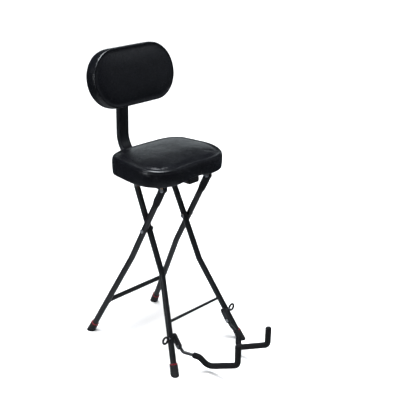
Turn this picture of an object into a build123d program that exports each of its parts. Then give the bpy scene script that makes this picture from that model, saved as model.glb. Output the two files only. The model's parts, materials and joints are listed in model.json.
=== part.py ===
from build123d import *
import os
from math import sqrt, cos, sin, pi, tan, radians

os.makedirs("parts", exist_ok=True)

# ---------------------------------------------------------------- sizes, mm
# +Z up, floor at Z = 0, the front of the stool looks along -Y.

TUBE_R = 9.525            # main frame tube, 19 mm outside
TUBE_IN = 8.0             # its bore
RUN = 0.06                # radial clearance of a shaft in its hole

# The figures below count Y from midway between the front and rear feet.
# Every part is moved by this much as it is written, so that the origin is
# under the middle of the whole object, cradle arms included.
Y_SHIFT = 82.85

# rear frame: feet behind, tops under the front of the seat
RF_FOOT = (143.9, 195.5, 0.0)
RF_BEND = (98.5, 43.6, 294.5)
RF_TOP = (98.5, -87.4, 548.0)
RF_BAR_Z = 121.9          # rear crossbar height
RF_BAR_R = 7.6
FLAT_W = 27.0             # flattened tube end, width and thickness
FLAT_T = 5.0

# front frame: feet in front, top bar under the back of the seat
FF_FOOT = (153.2, -195.5, 0.0)
FF_BEND = (82.2, -71.1, 267.1)
FF_TOP = (71.9, 55.5, 540.0)
FF_CORNER_R = 26.0
FF_BAR_SPLIT = 45.0       # the top bar runs between plus and minus this X
FF_ROD_Z = 140.0          # thin rod between the front legs
FF_ROD_R = 4.5

FOOT_LEN = 32.0
FOOT_R_TOP = 12.0
FOOT_R_LOW = 13.6

# seat
SEAT_A = 165.3            # half width
SEAT_F = 135.8            # front depth
SEAT_B = 108.3            # rear depth
SEAT_N = 3.7              # squareness
SEAT_DIP = 10.0           # hollow in the middle of the front edge
SEAT_WAIST = 0.067
SEAT_WAIST_Y = 42.0
SEAT_Z0 = 573.0
SEAT_Z1 = 627.0
BOARD_Z0 = 573.5
BOARD_T = 12.0

# backrest and its post
PAD_W = 326.0
PAD_H = 178.0
PAD_T = 42.0
PAD_R = 88.0
PAD_MID = (161.9, 828.0)  # Y, Z of the middle of its back
PAD_LEAN = 0.231          # radians, its top leans to the rear
POST_W = 41.0
POST_T = 18.0
POST_Z = 562.8            # level run under the seat
POST_Y = 186.0            # upright run behind the seat
POST_R = 82.0             # bend
POST_FRONT = -119.0
POST_TOP = 862.0
RECV_Y0 = -118.0
RECV_Y1 = 72.0
KNOB_Y = -45.0
BACK_BOLT_Z = (796.0, 838.0)

# cradle arms
ARM_X = 67.0
ARM_ROD_R = 5.0
ARM_FOAM_R = 9.4
ARM_TAB_X = 110.8
ARM_PIVOT = (-172.0, 74.0)      # Y, Z
LOCK_PIN = (-152.5, 100.0)      # Y, Z
PIN_R = 4.0
RING_X = 150.4
RING_R = 10.0
RING_WIRE = 3.4


# ---------------------------------------------------------------- helpers
def unit(a, b):
    d = [b[i] - a[i] for i in range(3)]
    n = sqrt(sum(c * c for c in d))
    return tuple(c / n for c in d)


def along(a, b, t):
    return tuple(a[i] + (b[i] - a[i]) * t for i in range(3))


def shift(a, d, s):
    return tuple(a[i] + d[i] * s for i in range(3))


def side(p, s):
    return (s * p[0], p[1], p[2])


def at_z(a, b, z):
    return along(a, b, (z - a[2]) / (b[2] - a[2]))


def rod_x(r, x0, x1, y, z, mode=Mode.ADD):
    """A round bar along X inside the active part."""
    lo, hi = min(x0, x1), max(x0, x1)
    with BuildSketch(Plane(origin=(lo, y, z), x_dir=(0, 1, 0), z_dir=(1, 0, 0))) as sk:
        Circle(r)
    extrude(sk.sketch, amount=hi - lo, mode=mode)


def hex_x(af, x0, x1, y, z, mode=Mode.ADD):
    lo, hi = min(x0, x1), max(x0, x1)
    with BuildSketch(Plane(origin=(lo, y, z), x_dir=(0, 1, 0), z_dir=(1, 0, 0))) as sk:
        RegularPolygon(af / 2, 6, major_radius=False)
    extrude(sk.sketch, amount=hi - lo, mode=mode)


def rod_z(r, z0, z1, x, y, mode=Mode.ADD):
    with BuildSketch(Plane(origin=(x, y, min(z0, z1)))) as sk:
        Circle(r)
    extrude(sk.sketch, amount=abs(z1 - z0), mode=mode)


def box_at(x0, x1, y0, y1, z0, z1, mode=Mode.ADD):
    with BuildSketch(Plane(origin=((x0 + x1) / 2, (y0 + y1) / 2, min(z0, z1)))) as sk:
        Rectangle(abs(x1 - x0), abs(y1 - y0))
    extrude(sk.sketch, amount=abs(z1 - z0), mode=mode)


def save(part, name):
    placed = part.moved(Location((0, Y_SHIFT, 0)))
    placed.label = name
    export_step(placed, "parts/" + name + ".step")


# crossing point of the two frames, seen from the side
def crossing():
    a, b, c, d = RF_BEND, RF_TOP, FF_BEND, FF_TOP
    m1 = (b[1] - a[1]) / (b[2] - a[2])
    m2 = (d[1] - c[1]) / (d[2] - c[2])
    z = (c[1] - a[1] + m1 * a[2] - m2 * c[2]) / (m1 - m2)
    return a[1] + m1 * (z - a[2]), z


PIV_Y, PIV_Z = crossing()
PIV_XR = at_z(RF_BEND, RF_TOP, PIV_Z)[0]
PIV_XF = at_z(FF_BEND, FF_TOP, PIV_Z)[0]


# ---------------------------------------------------------------- rear frame
RF_UP = unit(RF_BEND, RF_TOP)
RF_NECK0 = shift(RF_TOP, RF_UP, -72.0)
RF_NECK1 = shift(RF_TOP, RF_UP, -50.0)


def rear_leg(s):
    low_dir = unit(side(RF_FOOT, s), side(RF_BEND, s))
    start = shift(side(RF_FOOT, s), low_dir, 7.0)
    up = unit(side(RF_BEND, s), side(RF_TOP, s))
    neck0, neck1, top = side(RF_NECK0, s), side(RF_NECK1, s), side(RF_TOP, s)
    with BuildPart() as leg:
        with BuildLine() as path:
            FilletPolyline(start, side(RF_BEND, s), neck0, radius=160)
        with BuildSketch(Plane(origin=start, z_dir=low_dir)):
            Circle(TUBE_R)
        sweep(path=path.wires()[0])
        # the tube is pressed flat towards the seat pivot
        with BuildSketch(Plane(origin=neck0, x_dir=(1, 0, 0), z_dir=up)):
            Circle(TUBE_R)
        with BuildSketch(Plane(origin=neck1, x_dir=(1, 0, 0), z_dir=up)):
            RectangleRounded(FLAT_T, FLAT_W, 2.3)
        loft()
        with BuildSketch(Plane(origin=neck1, x_dir=(1, 0, 0), z_dir=up)):
            RectangleRounded(FLAT_T, FLAT_W, 2.3)
        extrude(amount=50.0)
        rod_x(FLAT_W / 2, top[0] - FLAT_T / 2, top[0] + FLAT_T / 2, top[1], top[2])
        # bore, up to the neck
        with BuildSketch(Plane(origin=start, z_dir=low_dir)):
            Circle(TUBE_IN)
        sweep(path=path.wires()[0], mode=Mode.SUBTRACT)
        rod_x(4.0 + RUN, top[0] - 20, top[0] + 20, top[1], top[2], mode=Mode.SUBTRACT)
        rod_x(3.0 + RUN, s * PIV_XR - 20, s * PIV_XR + 20, PIV_Y, PIV_Z, mode=Mode.SUBTRACT)
    return leg.part


def leg_skin(foot, bend, top, s, r):
    """Plain outside of a leg, used to cope the parts that meet it."""
    low_dir = unit(side(foot, s), side(bend, s))
    start = shift(side(foot, s), low_dir, -5.0)
    with BuildPart() as skin:
        with BuildLine() as path:
            FilletPolyline(start, side(bend, s), side(top, s), radius=160)
        with BuildSketch(Plane(origin=start, z_dir=low_dir)):
            Circle(r)
        sweep(path=path.wires()[0])
    return skin.part


rear_leg_left = rear_leg(-1)
rear_leg_right = rear_leg(1)
save(rear_leg_left, "rear_leg_left")
save(rear_leg_right, "rear_leg_right")

rear_skin_l = leg_skin(RF_FOOT, RF_BEND, RF_NECK0, -1, TUBE_R)
rear_skin_r = leg_skin(RF_FOOT, RF_BEND, RF_NECK0, 1, TUBE_R)

bar_pt = at_z(RF_FOOT, RF_BEND, RF_BAR_Z)
with BuildPart() as rear_crossbar:
    rod_x(RF_BAR_R, -bar_pt[0], bar_pt[0], bar_pt[1], bar_pt[2])
    add(rear_skin_l, mode=Mode.SUBTRACT)
    add(rear_skin_r, mode=Mode.SUBTRACT)
    rod_x(RF_BAR_R - 1.3, -bar_pt[0], bar_pt[0], bar_pt[1], bar_pt[2], mode=Mode.SUBTRACT)
save(rear_crossbar.part, "rear_crossbar")


def rubber_foot(foot, bend, s):
    d = unit(side(foot, s), side(bend, s))
    p = side(foot, s)
    with BuildPart() as boot:
        with BuildSketch(Plane(origin=shift(p, d, -9.0), z_dir=d)):
            Circle(FOOT_R_LOW)
        with BuildSketch(Plane(origin=shift(p, d, FOOT_LEN), z_dir=d)):
            Circle(FOOT_R_TOP)
        loft()
        box_at(p[0] - 60, p[0] + 60, p[1] - 60, p[1] + 60, -40, 0, mode=Mode.SUBTRACT)
        with BuildSketch(Plane(origin=shift(p, d, 7.0), z_dir=d)):
            Circle(TUBE_R + 0.05)
        extrude(amount=FOOT_LEN, mode=Mode.SUBTRACT)
        # the boot also plugs the open end of the tube
        with BuildSketch(Plane(origin=shift(p, d, 6.5), z_dir=d)):
            Circle(TUBE_IN - 0.15)
        extrude(amount=9.0)
    return boot.part


def foot_ring(foot, bend, s):
    d = unit(side(foot, s), side(bend, s))
    p = shift(side(foot, s), d, FOOT_LEN + 0.05)
    with BuildSketch(Plane(origin=p, z_dir=d)) as band:
        Circle(FOOT_R_TOP + 0.5)
        Circle(TUBE_R + 0.08, mode=Mode.SUBTRACT)
    return extrude(band.sketch, amount=3.6)


save(rubber_foot(RF_FOOT, RF_BEND, -1), "rear_foot_left")
save(rubber_foot(RF_FOOT, RF_BEND, 1), "rear_foot_right")
save(rubber_foot(FF_FOOT, FF_BEND, -1), "front_foot_left")
save(rubber_foot(FF_FOOT, FF_BEND, 1), "front_foot_right")
save(Compound(children=[foot_ring(RF_FOOT, RF_BEND, -1), foot_ring(RF_FOOT, RF_BEND, 1)]), "rear_foot_rings")
save(Compound(children=[foot_ring(FF_FOOT, FF_BEND, -1), foot_ring(FF_FOOT, FF_BEND, 1)]), "front_foot_rings")

# frame pivots, one bolt, spacer and nut on each side
FRONT_IN = PIV_XF - TUBE_R - 0.3      # inner side of the front leg, with play
REAR_OUT = PIV_XR + TUBE_R


def frame_bolt(s):
    with BuildPart() as bolt:
        rod_x(3.0, s * (REAR_OUT + 0.02), s * (FRONT_IN - 5.4), PIV_Y, PIV_Z)
        with BuildSketch(Plane(origin=(s * (REAR_OUT + 0.02), PIV_Y, PIV_Z), x_dir=(0, 1, 0), z_dir=(s, 0, 0))):
            Circle(6.4)
        extrude(amount=3.4)
        fillet(bolt.faces().sort_by(Axis.X)[-1 if s > 0 else 0].edges(), 1.8)
    return bolt.part


def frame_nut(s):
    with BuildPart() as nut:
        hex_x(10.0, s * (FRONT_IN - 1.0), s * (FRONT_IN - 4.6), PIV_Y, PIV_Z)
        rod_x(7.0, s * FRONT_IN, s * (FRONT_IN - 1.0), PIV_Y, PIV_Z)
        rod_x(3.02, -s * 200, s * 200, PIV_Y, PIV_Z, mode=Mode.SUBTRACT)
    return nut.part


def frame_spacer(s):
    gap0 = PIV_XF + TUBE_R + 0.3
    gap1 = PIV_XR - TUBE_R - 0.05
    with BuildPart() as spacer:
        rod_x(8.5, s * gap0, s * gap1, PIV_Y, PIV_Z)
        rod_x(3.02, s * (gap0 - 5), s * (gap1 + 5), PIV_Y, PIV_Z, mode=Mode.SUBTRACT)
    return spacer.part


save(Compound(children=[frame_bolt(-1), frame_bolt(1)]), "frame_pivot_bolts")
save(Compound(children=[frame_nut(-1), frame_nut(1)]), "frame_pivot_nuts")
save(Compound(children=[frame_spacer(-1), frame_spacer(1)]), "frame_pivot_spacers")

# seat pivots: bolt head outside the flattened leg, bracket plate inside it
FLAT_IN = RF_TOP[0] - FLAT_T / 2
FLAT_OUT = RF_TOP[0] + FLAT_T / 2
PLATE_X1 = FLAT_IN - 0.3
PLATE_X0 = PLATE_X1 - 2.5


def seat_bolt(s):
    with BuildPart() as bolt:
        rod_x(4.0, s * (FLAT_OUT + 0.02), s * (PLATE_X0 - 9.0), RF_TOP[1], RF_TOP[2])
        with BuildSketch(Plane(origin=(s * (FLAT_OUT + 0.02), RF_TOP[1], RF_TOP[2]), x_dir=(0, 1, 0), z_dir=(s, 0, 0))):
            Circle(7.4)
        extrude(amount=4.2)
        fillet(bolt.faces().sort_by(Axis.X)[-1 if s > 0 else 0].edges(), 2.2)
    return bolt.part


def seat_nut(s):
    with BuildPart() as nut:
        rod_x(8.0, s * (PLATE_X0 - 0.3), s * (PLATE_X0 - 1.8), RF_TOP[1], RF_TOP[2])
        hex_x(13.0, s * (PLATE_X0 - 1.8), s * (PLATE_X0 - 8.4), RF_TOP[1], RF_TOP[2])
        rod_x(4.02, -s * 200, s * 200, RF_TOP[1], RF_TOP[2], mode=Mode.SUBTRACT)
    return nut.part


save(Compound(children=[seat_bolt(-1), seat_bolt(1)]), "seat_pivot_bolts")
save(Compound(children=[seat_nut(-1), seat_nut(1)]), "seat_pivot_nuts")


# ---------------------------------------------------------------- front frame
def front_leg(s):
    low_dir = unit(side(FF_FOOT, s), side(FF_BEND, s))
    start = shift(side(FF_FOOT, s), low_dir, 7.0)
    end = (s * FF_BAR_SPLIT, FF_TOP[1], FF_TOP[2])
    with BuildPart() as leg:
        with BuildLine() as path:
            FilletPolyline(start, side(FF_BEND, s), side(FF_TOP, s), end, radius=FF_CORNER_R)
        with BuildSketch(Plane(origin=start, z_dir=low_dir)):
            Circle(TUBE_R)
        sweep(path=path.wires()[0])
        with BuildSketch(Plane(origin=start, z_dir=low_dir)):
            Circle(TUBE_IN)
        sweep(path=path.wires()[0], mode=Mode.SUBTRACT)
        rod_x(3.0 + RUN, s * PIV_XF - 20, s * PIV_XF + 20, PIV_Y, PIV_Z, mode=Mode.SUBTRACT)
        rod_x(PIN_R + RUN, s * 100, s * 160, LOCK_PIN[0], LOCK_PIN[1], mode=Mode.SUBTRACT)
    return leg.part


save(front_leg(-1), "front_leg_left")
save(front_leg(1), "front_leg_right")

with BuildPart() as front_top_bar:
    rod_x(TUBE_R, -FF_BAR_SPLIT, FF_BAR_SPLIT, FF_TOP[1], FF_TOP[2])
    rod_x(TUBE_IN, -FF_BAR_SPLIT, FF_BAR_SPLIT, FF_TOP[1], FF_TOP[2], mode=Mode.SUBTRACT)
save(front_top_bar.part, "front_top_bar")

front_skin_l = leg_skin(FF_FOOT, FF_BEND, FF_TOP, -1, TUBE_R)
front_skin_r = leg_skin(FF_FOOT, FF_BEND, FF_TOP, 1, TUBE_R)

rod_pt = at_z(FF_FOOT, FF_BEND, FF_ROD_Z)
with BuildPart() as front_crossbar:
    rod_x(FF_ROD_R, -rod_pt[0], rod_pt[0], rod_pt[1], rod_pt[2])
    add(front_skin_l, mode=Mode.SUBTRACT)
    add(front_skin_r, mode=Mode.SUBTRACT)
save(front_crossbar.part, "front_crossbar")

# cradle hinge plates, welded to the inner side of the front legs
HP_X1 = ARM_TAB_X + 5.4
HP_X0 = ARM_TAB_X + 2.8


def hinge_plate(s):
    py, pz = ARM_PIVOT
    ly, lz = LOCK_PIN
    with BuildPart() as plate:
        with BuildSketch(Plane(origin=(s * HP_X0, 0, 0), x_dir=(0, 1, 0), z_dir=(s, 0, 0))) as outline:
            k = 1 if s > 0 else -1
            # on this plane the local y axis is +Z on the right side and -Z on the left
            with Locations((py, k * pz), (ly, k * lz)):
                Circle(10.0)
            make_hull()
        extrude(amount=HP_X1 - HP_X0)
        box_at(s * HP_X0, s * (HP_X1 + 10), ly - 6, ly + 7, lz - 7, lz + 7)
        add(front_skin_l if s < 0 else front_skin_r, mode=Mode.SUBTRACT)
        rod_x(PIN_R + RUN, s * 100, s * 150, ly, lz, mode=Mode.SUBTRACT)
        rod_x(3.0 + 0.02, s * 100, s * 150, py, pz, mode=Mode.SUBTRACT)
    return plate.part


save(hinge_plate(-1), "cradle_hinge_left")
save(hinge_plate(1), "cradle_hinge_right")


def arm_rivet(s):
    py, pz = ARM_PIVOT
    with BuildPart() as rivet:
        rod_x(3.0, s * (HP_X1 + 1.6), s * (ARM_TAB_X - 4.6), py, pz)
        rod_x(5.5, s * (HP_X1 + 0.02), s * (HP_X1 + 2.0), py, pz)
        rod_x(5.5, s * (ARM_TAB_X - 2.8), s * (ARM_TAB_X - 4.8), py, pz)
    return rivet.part


save(Compound(children=[arm_rivet(-1), arm_rivet(1)]), "cradle_rivets")


# ---------------------------------------------------------------- cradle arms
def arm_points(s):
    """The right arm is bent a little higher than the left one."""
    py, pz = ARM_PIVOT
    start = [
        (s * ARM_TAB_X, py - 5.0, pz - 4.7),
        (s * ARM_TAB_X, -187.0, 59.0),
        (s * 92.0, -238.0, 55.0),
    ]
    if s < 0:
        return start + [(-ARM_X, -250.0, 17.5), (-ARM_X, -365.2, 69.0), (-ARM_X, -365.2, 129.8)]
    return start + [(ARM_X + 2.0, -250.0, 25.0), (ARM_X + 2.0, -367.0, 81.5), (ARM_X + 2.0, -367.0, 136.0)]


ARM_BENDS = (12.0, 14.0, 20.0, 20.0)


def cradle_rod(s):
    py, pz = ARM_PIVOT
    ly, lz = LOCK_PIN
    pts = arm_points(s)
    d0 = unit(pts[0], pts[1])
    with BuildPart() as rod:
        with BuildLine() as path:
            FilletPolyline(*pts, radius=ARM_BENDS)
        with BuildSketch(Plane(origin=pts[0], z_dir=d0)):
            Circle(ARM_ROD_R)
        sweep(path=path.wires()[0])
        # keep the round rod off the hinge plate, then add the flat tab
        with BuildSketch(Plane(origin=(s * (ARM_TAB_X + 2.5), py, pz), x_dir=(0, 1, 0), z_dir=(s, 0, 0))):
            Circle(12.5)
        extrude(amount=8, mode=Mode.SUBTRACT)
        with BuildSketch(Plane(origin=(s * (ARM_TAB_X - 2.5), py, pz), x_dir=(0, 1, 0), z_dir=(-s, 0, 0))):
            Circle(9.5)
        extrude(amount=8, mode=Mode.SUBTRACT)
        with BuildSketch(Plane(origin=(s * (ARM_TAB_X - 2.5), 0, 0), x_dir=(0, 1, 0), z_dir=(s, 0, 0))):
            k = 1 if s > 0 else -1
            with Locations((py, k * pz), (ly, k * lz)):
                Circle(9.0)
            make_hull()
        extrude(amount=5.0)
        rod_x(PIN_R + RUN, s * 100, s * 150, ly, lz, mode=Mode.SUBTRACT)
        rod_x(3.0 + RUN, s * 100, s * 150, py, pz, mode=Mode.SUBTRACT)
    return rod.part


def foam_path(s):
    pts = arm_points(s)
    first = along(pts[1], pts[2], 0.62)
    return [first] + pts[2:5] + [(pts[5][0], pts[5][1], pts[5][2] + 0.4)]


def cradle_foam(s):
    pts = foam_path(s)
    with BuildPart() as tip:
        rod_z(ARM_FOAM_R, pts[-1][2] - 0.01, pts[-1][2] + 5.5, pts[-1][0], pts[-1][1])
        fillet(tip.faces().sort_by(Axis.Z)[-1].edges(), 4.0)
    with BuildPart() as foam:
        with BuildLine() as path:
            FilletPolyline(*pts, radius=ARM_BENDS[1:])
        with BuildSketch(Plane(origin=pts[0], z_dir=unit(pts[0], pts[1]))):
            Circle(ARM_FOAM_R)
        sweep(path=path.wires()[0])
        with BuildSketch(Plane(origin=pts[0], z_dir=unit(pts[0], pts[1]))):
            Circle(ARM_ROD_R + 0.05)
        sweep(path=path.wires()[0], mode=Mode.SUBTRACT)
        # closed, rounded end
        add(tip.part)
    return foam.part


save(cradle_rod(-1), "cradle_arm_left")
save(cradle_rod(1), "cradle_arm_right")
save(cradle_foam(-1), "cradle_foam_left")
save(cradle_foam(1), "cradle_foam_right")


# ---------------------------------------------------------------- lock pins
def lock_pin(s):
    ly, lz = LOCK_PIN
    end = RING_X - RING_R - RING_WIRE - 0.1
    with BuildPart() as pin:
        rod_x(PIN_R, s * HP_X0, s * end, ly, lz)
        chamfer(pin.edges().filter_by(GeomType.CIRCLE).sort_by(Axis.X)[0 if s > 0 else -1], 0.8)
        # spigot held in the ring
        rod_x(1.8, s * (end - 1), s * (RING_X - RING_R), ly, lz)
    return pin.part


def pull_ring(s):
    ly, lz = LOCK_PIN
    with BuildPart() as ring:
        with BuildSketch(Plane.XY.offset(lz)):
            with Locations((s * (RING_X - RING_R), ly)):
                Circle(RING_WIRE)
        revolve(axis=Axis((s * RING_X, ly, lz), (0, 1, 0)), revolution_arc=360)
        rod_x(1.83, s * (RING_X - RING_R - 5), s * (RING_X - RING_R + 0.1), ly, lz, mode=Mode.SUBTRACT)
    return ring.part


save(lock_pin(-1), "lock_pin_left")
save(lock_pin(1), "lock_pin_right")
save(pull_ring(-1), "pull_ring_left")
save(pull_ring(1), "pull_ring_right")


# ---------------------------------------------------------------- seat
def seat_outline(inset, n=48):
    pts = []
    for i in range(n):
        t = 2 * pi * i / n
        c, s = cos(t), sin(t)
        b = (SEAT_B if s > 0 else SEAT_F) - inset
        x = (SEAT_A - inset) * (1 if c >= 0 else -1) * abs(c) ** (2 / SEAT_N)
        y = b * (1 if s >= 0 else -1) * abs(s) ** (2 / SEAT_N)
        if y < 0:
            y += SEAT_DIP * 2.718281828 ** (-((x / 50.0) ** 2)) * (y / SEAT_F) ** 2
        x *= 1 - SEAT_WAIST * 2.718281828 ** (-(((y - SEAT_WAIST_Y) / 45.0) ** 2)) * (abs(x) / SEAT_A) ** 2
        pts.append((x, y))
    return pts


def seat_slab(inset, z0, z1, mode=Mode.ADD):
    with BuildSketch(Plane.XY.offset(z0)) as sk:
        with BuildLine():
            Spline(*seat_outline(inset), periodic=True)
        make_face()
    extrude(sk.sketch, amount=z1 - z0, mode=mode)


with BuildPart() as seat_cushion:
    seat_slab(0, SEAT_Z0, SEAT_Z1)
    fillet(seat_cushion.faces().sort_by(Axis.Z)[-1].edges(), 9.0)
    fillet(seat_cushion.faces().sort_by(Axis.Z)[0].edges(), 3.0)
    seat_slab(6.0, SEAT_Z0 - 1, BOARD_Z0 + BOARD_T + 0.2, mode=Mode.SUBTRACT)
save(seat_cushion.part, "seat_cushion")

SCREW_R = 2.0
SCREWS = []
for sx in (-1, 1):
    SCREWS += [(sx * 80.0, -94.0), (sx * 80.0, -54.0)]
    SCREWS += [(sx * 33.0, -78.0), (sx * 33.0, 5.0)]
    SCREWS += [(sx * 56.0, 45.0), (sx * 56.0, 66.0)]
FLANGE = 2.5
FLANGE_Z = BOARD_Z0 - FLANGE

with BuildPart() as seat_board:
    seat_slab(6.4, BOARD_Z0, BOARD_Z0 + BOARD_T)
    for sx, sy in SCREWS:
        rod_z(SCREW_R + 0.09, BOARD_Z0 - 1, BOARD_Z0 + 10, sx, sy, mode=Mode.SUBTRACT)
save(seat_board.part, "seat_board")


def wood_screw(x, y):
    with BuildPart() as screw:
        rod_z(SCREW_R, FLANGE_Z - 0.6, BOARD_Z0 + 9.0, x, y)
        rod_z(3.9, FLANGE_Z - 2.2, FLANGE_Z - 0.02, x, y)
    return screw.part


save(Compound(children=[wood_screw(x, y) for x, y in SCREWS]), "seat_screws")


def pivot_bracket(s):
    y, z = RF_TOP[1], RF_TOP[2]
    k = 1 if s > 0 else -1
    with BuildPart() as bracket:
        with BuildSketch(Plane(origin=(s * PLATE_X0, 0, 0), x_dir=(0, 1, 0), z_dir=(s, 0, 0))):
            with BuildLine():
                Polyline(
                    (-102.5, k * BOARD_Z0), (-102.5, k * 547), (y - 8, k * 539), (y - 4, k * 536),
                    (y + 4, k * 536), (y + 10, k * 539.5), (y + 19, k * 544), (-44, k * 547),
                    (-44, k * BOARD_Z0), close=True)
            make_face()
        extrude(amount=PLATE_X1 - PLATE_X0)
        box_at(s * 66.0, s * PLATE_X1, -102.5, -44, FLANGE_Z, BOARD_Z0)
        rod_x(4.0 + RUN, s * 80, s * 110, y, z, mode=Mode.SUBTRACT)
        for sx, sy in SCREWS:
            rod_z(SCREW_R + 0.09, FLANGE_Z - 1, BOARD_Z0 + 1, sx, sy, mode=Mode.SUBTRACT)
    return bracket.part


save(pivot_bracket(-1), "pivot_bracket_left")
save(pivot_bracket(1), "pivot_bracket_right")


# open catches that drop over the top bar of the front frame
CATCH_X0, CATCH_X1 = 26.0, 41.0


def bar_catch(s):
    y, z = FF_TOP[1], FF_TOP[2]
    k = 1 if s > 0 else -1
    with BuildPart() as catch:
        with BuildSketch(Plane(origin=(s * CATCH_X0, 0, 0), x_dir=(0, 1, 0), z_dir=(s, 0, 0))):
            with BuildLine():
                Polyline(
                    (y - 23, k * FLANGE_Z), (y - 23, k * (z + 8)), (y - 19, k * (z - 4.0)), (y - 14.9, k * (z - 6.0)),
                    (y - 9.2, k * (z + 5.0)), (y - 6.6, k * (z + 9.83)), (y + 9.83, k * (z + 9.83)),
                    (y + 9.83, k * (z - 6.0)), (y + 14, k * (z - 8.0)), (y + 19, k * FLANGE_Z), close=True)
            make_face()
        extrude(amount=CATCH_X1 - CATCH_X0)
        box_at(s * CATCH_X0, s * 66.0, y - 23, y + 19, FLANGE_Z, BOARD_Z0)
        for sx, sy in SCREWS:
            rod_z(SCREW_R + 0.09, FLANGE_Z - 1, BOARD_Z0 + 1, sx, sy, mode=Mode.SUBTRACT)
    return catch.part


save(bar_catch(-1), "bar_catch_left")
save(bar_catch(1), "bar_catch_right")

# receiver for the backrest post
RW = POST_W / 2 + 0.2
RH = POST_T / 2 + 0.2
RWALL = 1.5
RECV_BOTTOM = POST_Z - RH - RWALL


with BuildPart() as post_receiver:
    with BuildSketch(Plane(origin=(0, RECV_Y0, POST_Z), x_dir=(1, 0, 0), z_dir=(0, 1, 0))):
        RectangleRounded(2 * (RW + RWALL), 2 * (RH + RWALL), 6.6)
    extrude(amount=RECV_Y1 - RECV_Y0)
    for ty in (-78.0, 5.0):
        box_at(-42, 42, ty - 10, ty + 10, FLANGE_Z, BOARD_Z0)
    with BuildSketch(Plane(origin=(0, RECV_Y0 - 1, POST_Z), x_dir=(1, 0, 0), z_dir=(0, 1, 0))):
        RectangleRounded(2 * RW, 2 * RH, 5.1)
    extrude(amount=RECV_Y1 - RECV_Y0 + 2, mode=Mode.SUBTRACT)
    rod_z(4.0 + RUN, RECV_BOTTOM - 1, POST_Z, 0, KNOB_Y, mode=Mode.SUBTRACT)
    for sx, sy in SCREWS:
        rod_z(SCREW_R + 0.09, FLANGE_Z - 1, BOARD_Z0 + 1, sx, sy, mode=Mode.SUBTRACT)
save(post_receiver.part, "post_receiver")

with BuildPart() as clamp_nut:
    with BuildSketch(Plane(origin=(0, KNOB_Y, RECV_BOTTOM - 4.0))):
        RegularPolygon(6.5, 6, major_radius=False)
    extrude(amount=3.98)
    rod_z(4.0 + RUN, RECV_BOTTOM - 6, POST_Z, 0, KNOB_Y, mode=Mode.SUBTRACT)
save(clamp_nut.part, "clamp_nut")


# ---------------------------------------------------------------- clamp knob
KNOB_TOP = RECV_BOTTOM - 4.5
KNOB_BOTTOM = 539.0
with BuildPart() as clamp_knob:
    with BuildSketch(Plane(origin=(0, KNOB_Y, KNOB_BOTTOM))):
        Circle(17.0)
        with PolarLocations(15.5, 6):
            Circle(5.6)
    extrude(amount=KNOB_TOP - KNOB_BOTTOM)
    fillet(clamp_knob.faces().sort_by(Axis.Z)[0].edges(), 1.6)
    rod_z(4.02, KNOB_BOTTOM + 3.0, KNOB_TOP + 1, 0, KNOB_Y, mode=Mode.SUBTRACT)
save(clamp_knob.part, "clamp_knob")

with BuildPart() as clamp_screw:
    rod_z(4.0, KNOB_BOTTOM + 3.05, POST_Z - POST_T / 2 - 0.12, 0, KNOB_Y)
save(clamp_screw.part, "clamp_screw")


# ---------------------------------------------------------------- backrest
with BuildPart() as backrest_post:
    with BuildLine() as post_path:
        FilletPolyline((0, POST_FRONT, POST_Z), (0, POST_Y, POST_Z), (0, POST_Y, POST_TOP), radius=POST_R)
    with BuildSketch(Plane(origin=(0, POST_FRONT, POST_Z), x_dir=(1, 0, 0), z_dir=(0, 1, 0))):
        RectangleRounded(POST_W, POST_T, 4.9)
    sweep(path=post_path.wires()[0])
    with BuildSketch(Plane(origin=(0, POST_FRONT, POST_Z), x_dir=(1, 0, 0), z_dir=(0, 1, 0))):
        RectangleRounded(POST_W - 3.6, POST_T - 3.6, 3.1)
    sweep(path=post_path.wires()[0], mode=Mode.SUBTRACT)
    for bz in BACK_BOLT_Z:
        with BuildSketch(Plane(origin=(0, POST_Y + 20, bz), x_dir=(1, 0, 0), z_dir=(0, -1, 0))):
            Circle(3.0 + RUN)
        extrude(amount=40, mode=Mode.SUBTRACT)
save(backrest_post.part, "backrest_post")

with BuildPart() as post_front_cap:
    with BuildSketch(Plane(origin=(0, POST_FRONT - 3.0, POST_Z), x_dir=(1, 0, 0), z_dir=(0, 1, 0))):
        RectangleRounded(POST_W - 0.2, POST_T - 0.2, 4.8)
    extrude(amount=2.98)
    fillet(post_front_cap.faces().sort_by(Axis.Y)[0].edges(), 1.2)
    with BuildSketch(Plane(origin=(0, POST_FRONT - 1.0, POST_Z), x_dir=(1, 0, 0), z_dir=(0, 1, 0))):
        RectangleRounded(POST_W - 3.8, POST_T - 3.8, 3.0)
    extrude(amount=11.0)
save(post_front_cap.part, "post_front_cap")

with BuildPart() as post_top_cap:
    with BuildSketch(Plane(origin=(0, POST_Y, POST_TOP + 0.02))):
        RectangleRounded(POST_W - 0.2, POST_T - 0.2, 4.8)
    extrude(amount=3.0)
    fillet(post_top_cap.faces().sort_by(Axis.Z)[-1].edges(), 1.2)
    with BuildSketch(Plane(origin=(0, POST_Y, POST_TOP - 9.0))):
        RectangleRounded(POST_W - 3.8, POST_T - 3.8, 3.0)
    extrude(amount=10.0)
save(post_top_cap.part, "post_top_cap")


LEAN_C, LEAN_S = cos(PAD_LEAN), sin(PAD_LEAN)
PAD_AXIS = Axis((0, 0, 0), (0, LEAN_C, -LEAN_S))


def pad_point(x, y, z):
    """Pad coordinates: Y = 0 on its back, Z = 0 at mid height."""
    return (x, PAD_MID[0] + LEAN_C * y + LEAN_S * z, PAD_MID[1] - LEAN_S * y + LEAN_C * z)


def pad_plane(y, x=0.0, z=0.0):
    return Plane(origin=pad_point(x, y, z), x_dir=(-1, 0, 0), z_dir=(0, LEAN_C, -LEAN_S))


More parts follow.
